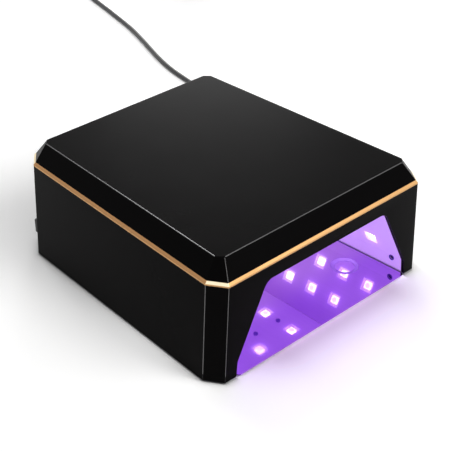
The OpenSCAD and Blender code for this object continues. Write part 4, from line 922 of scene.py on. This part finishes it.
def seenIn(tree):
    # one for what the camera sees, straight, in a mirror or through glass, and nought for what lights the scene
    path = addNode(tree, "LightPath").outputs
    return most(path["Is Camera Ray"], path["Is Glossy Ray"], path["Is Transmission Ray"])


def steps(socket, reach):
    # a distance counted in reaches
    return times(socket, 1 / reach)


paper = bpy.data.materials.new("paperFloor")
paper.use_nodes = True
tree = paper.node_tree
tree.nodes.clear()
seen = seenIn(tree)
floorX, floorY = axes(objectPlace(tree))[:2]
beside, frontY = size(floorX), body["frontY"] * milli
# violet light on the floor fades with the distance from the opening's foot, faster to the sides
ahead = most(minus(frontY, floorY), 0.0)
toLeft = minus(times(floorX, -1.0), spillLook["left"])
aside = most(toLeft, times(minus(floorX, spillLook["right"]), spillLook["rightFall"]), 0.0)
rear = most(minus(floorY, (body["frontY"] + spillLook["rearStart"]) * milli), 0.0)
spill = fading(plus(steps(ahead, spillLook["reach"]), times(aside, aside, spillLook["sides"]),
    steps(rear, spillLook["rear"]), squares(steps(ahead, spillLook["farReach"]))))
tinted = mixColour(spill, floorLook["shown"], spillLook["colour"])
# the floor right beside the walls' foot is shaded, by the distance beyond the sloping sides, the front and the back
beyondSide = minus(plus(beside, times(minus(floorY, frontY), narrowing)), contact["half"])
beyondEnd = most(minus(floorY, (body["frontY"] + body["depth"]) * milli), minus(frontY, floorY))
cutX, cutY = body["cornerX"] * milli, body["cornerY"] * milli
beyondCut = times(plus(steps(beyondSide, cutX), steps(beyondEnd, cutY), 1.0), cutX * cutY / math.hypot(cutX, cutY))
beyond = most(beyondSide, beyondEnd, beyondCut, 0.0)
mouth = times(below(beside, contact["mouth"]), below(floorY, 0.0))  # the opening throws no shade
shaded = times(fading(steps(beyond, contact["reach"])), contact["depth"], minus(1.0, mouth))
tinted = mixColour(shaded, tinted, contact["colour"])
# the floor inside the hand space shows when the tray is out, and is painted violet all over, painted light
room = times(ramp(floorY, roomLook["mouth"], roomLook["inside"]), below(floorY, roomLook["back"]),
    below(beside, roomLook["half"]))
tinted = mixColour(room, tinted, roomLook["colour"])
# the lip of floor just ahead of the opening is lit more brightly, but not at its left end, and less at its right end
lip = times(fading(steps(ahead, spillLook["lipReach"])), mouth, times(ramp(floorX, *spillLook["lipStart"]),
    ramp(floorX, *spillLook["lipEnd"], 1.0, spillLook["lipLeast"])))
tinted = vector("MULTIPLY", tinted, mixColour(lip, (1, 1, 1), spillLook["lip"]))
# the shade beside the walls is lifted in the front half, and the lamp throws a broad faint shadow behind its left side
fromLift = over(minus(floorY, contact["liftAt"]), contact["liftSpread"])
lifted = fading(plus(steps(beyond, contact["liftReach"]), squares(fromLift)))
lift = plus(times(lifted, ramp(beside, *contact["liftOutside"], 0.0, contact["lift"])), 1.0)
fromCast = [over(minus(at, middle), castLook["spread"]) for at, middle in zip((floorX, floorY), castLook["middle"])]
cast = fading(times(squares(*fromCast), 0.5))
lift = times(lift, minus(1.0, times(cast, castLook["depth"])))
tinted = vector("SCALE", tinted, lift)
matte = addNode(tree, "BsdfDiffuse", {"Color": mixColour(seen, floorLook["colour"], tinted)})
# beyond the lamps' reach the floor turns into the plain white background
farOff = calc("SQRT", squares(*[minus(at, middle) for at, middle in zip((floorX, floorY), farLook["middle"])]))
farAway = ramp(farOff, farLook["near"], farLook["far"], soft=True)
plain = addNode(tree, "Emission", {"Color": (1, 1, 1, 1), "Strength": 1.0})
ground = addNode(tree, "MixShader", {0: times(farAway, seen), 1: matte.outputs[0], 2: plain.outputs[0]})
addNode(tree, "OutputMaterial", {"Surface": ground.outputs[0]})
floorMesh.materials.append(paper)

studioAim = (0, 0, 0.03)
violet = (0.50, 0.22, 1.0)
lampLooks = {
    "overheadLamp": {"place": (-0.15, -0.05, 1.50), "size": 1.4, "power": 7.4, "colour": (1.0, 0.995, 0.99)},
    "keyLamp": {"place": (0.53, -1.15, 1.14), "size": 0.8, "power": 9.5, "colour": (1.0, 0.995, 0.99)},
    "backLamp": {"place": (0.17, 1.15, 1.50), "size": 0.4, "power": 4.4, "colour": (0.99, 0.99, 1.0)},
    "sheenLamp": {"place": (1.26, 1.40, 0.62), "size": 0.5, "power": 5.2, "colour": (1.0, 1.0, 1.0)},
    "violetFront": {"place": (0.0, -0.080, 0.050), "aim": (0.0, -0.20, 0.0), "size": 0.09, "power": 0.012,
        "colour": violet},
    "violetBack": {"place": (0.0, 0.0, 0.056), "aim": (0.0, 0.0, 0.0), "size": 0.10, "power": 0.012,
        "colour": violet},
}
for name, look in lampLooks.items():
    data = bpy.data.lights.new(name, "AREA")
    data.size, data.energy, data.color = look["size"], look["power"], look["colour"]
    lamp = aimed(name, data, look["place"], look.get("aim", studioAim))
    if "aim" in look:  # the violet ones stand inside the lamp, and are never seen themselves
        lamp.visible_camera = lamp.visible_glossy = False

worldLook = {"high": 0.9, "level": 0.13, "overhead": 0.27}
world = bpy.data.worlds.new("studio")
scene.world = world
world.use_nodes = True
tree = world.node_tree
tree.nodes.clear()
direction = axes(addNode(tree, "TexCoord").outputs["Generated"])
rise = ramp(direction[2], 0.0, worldLook["high"], worldLook["level"], worldLook["overhead"])
soft = addNode(tree, "Background", {"Color": (1, 1, 1, 1), "Strength": rise})
white = addNode(tree, "Background", {"Color": (1, 1, 1, 1), "Strength": 1.0})
sky = addNode(tree, "MixShader", {0: seenIn(tree), 1: soft.outputs[0], 2: white.outputs[0]})
addNode(tree, "OutputWorld", {"Surface": sky.outputs[0]})
print("floor, lamps and world made")
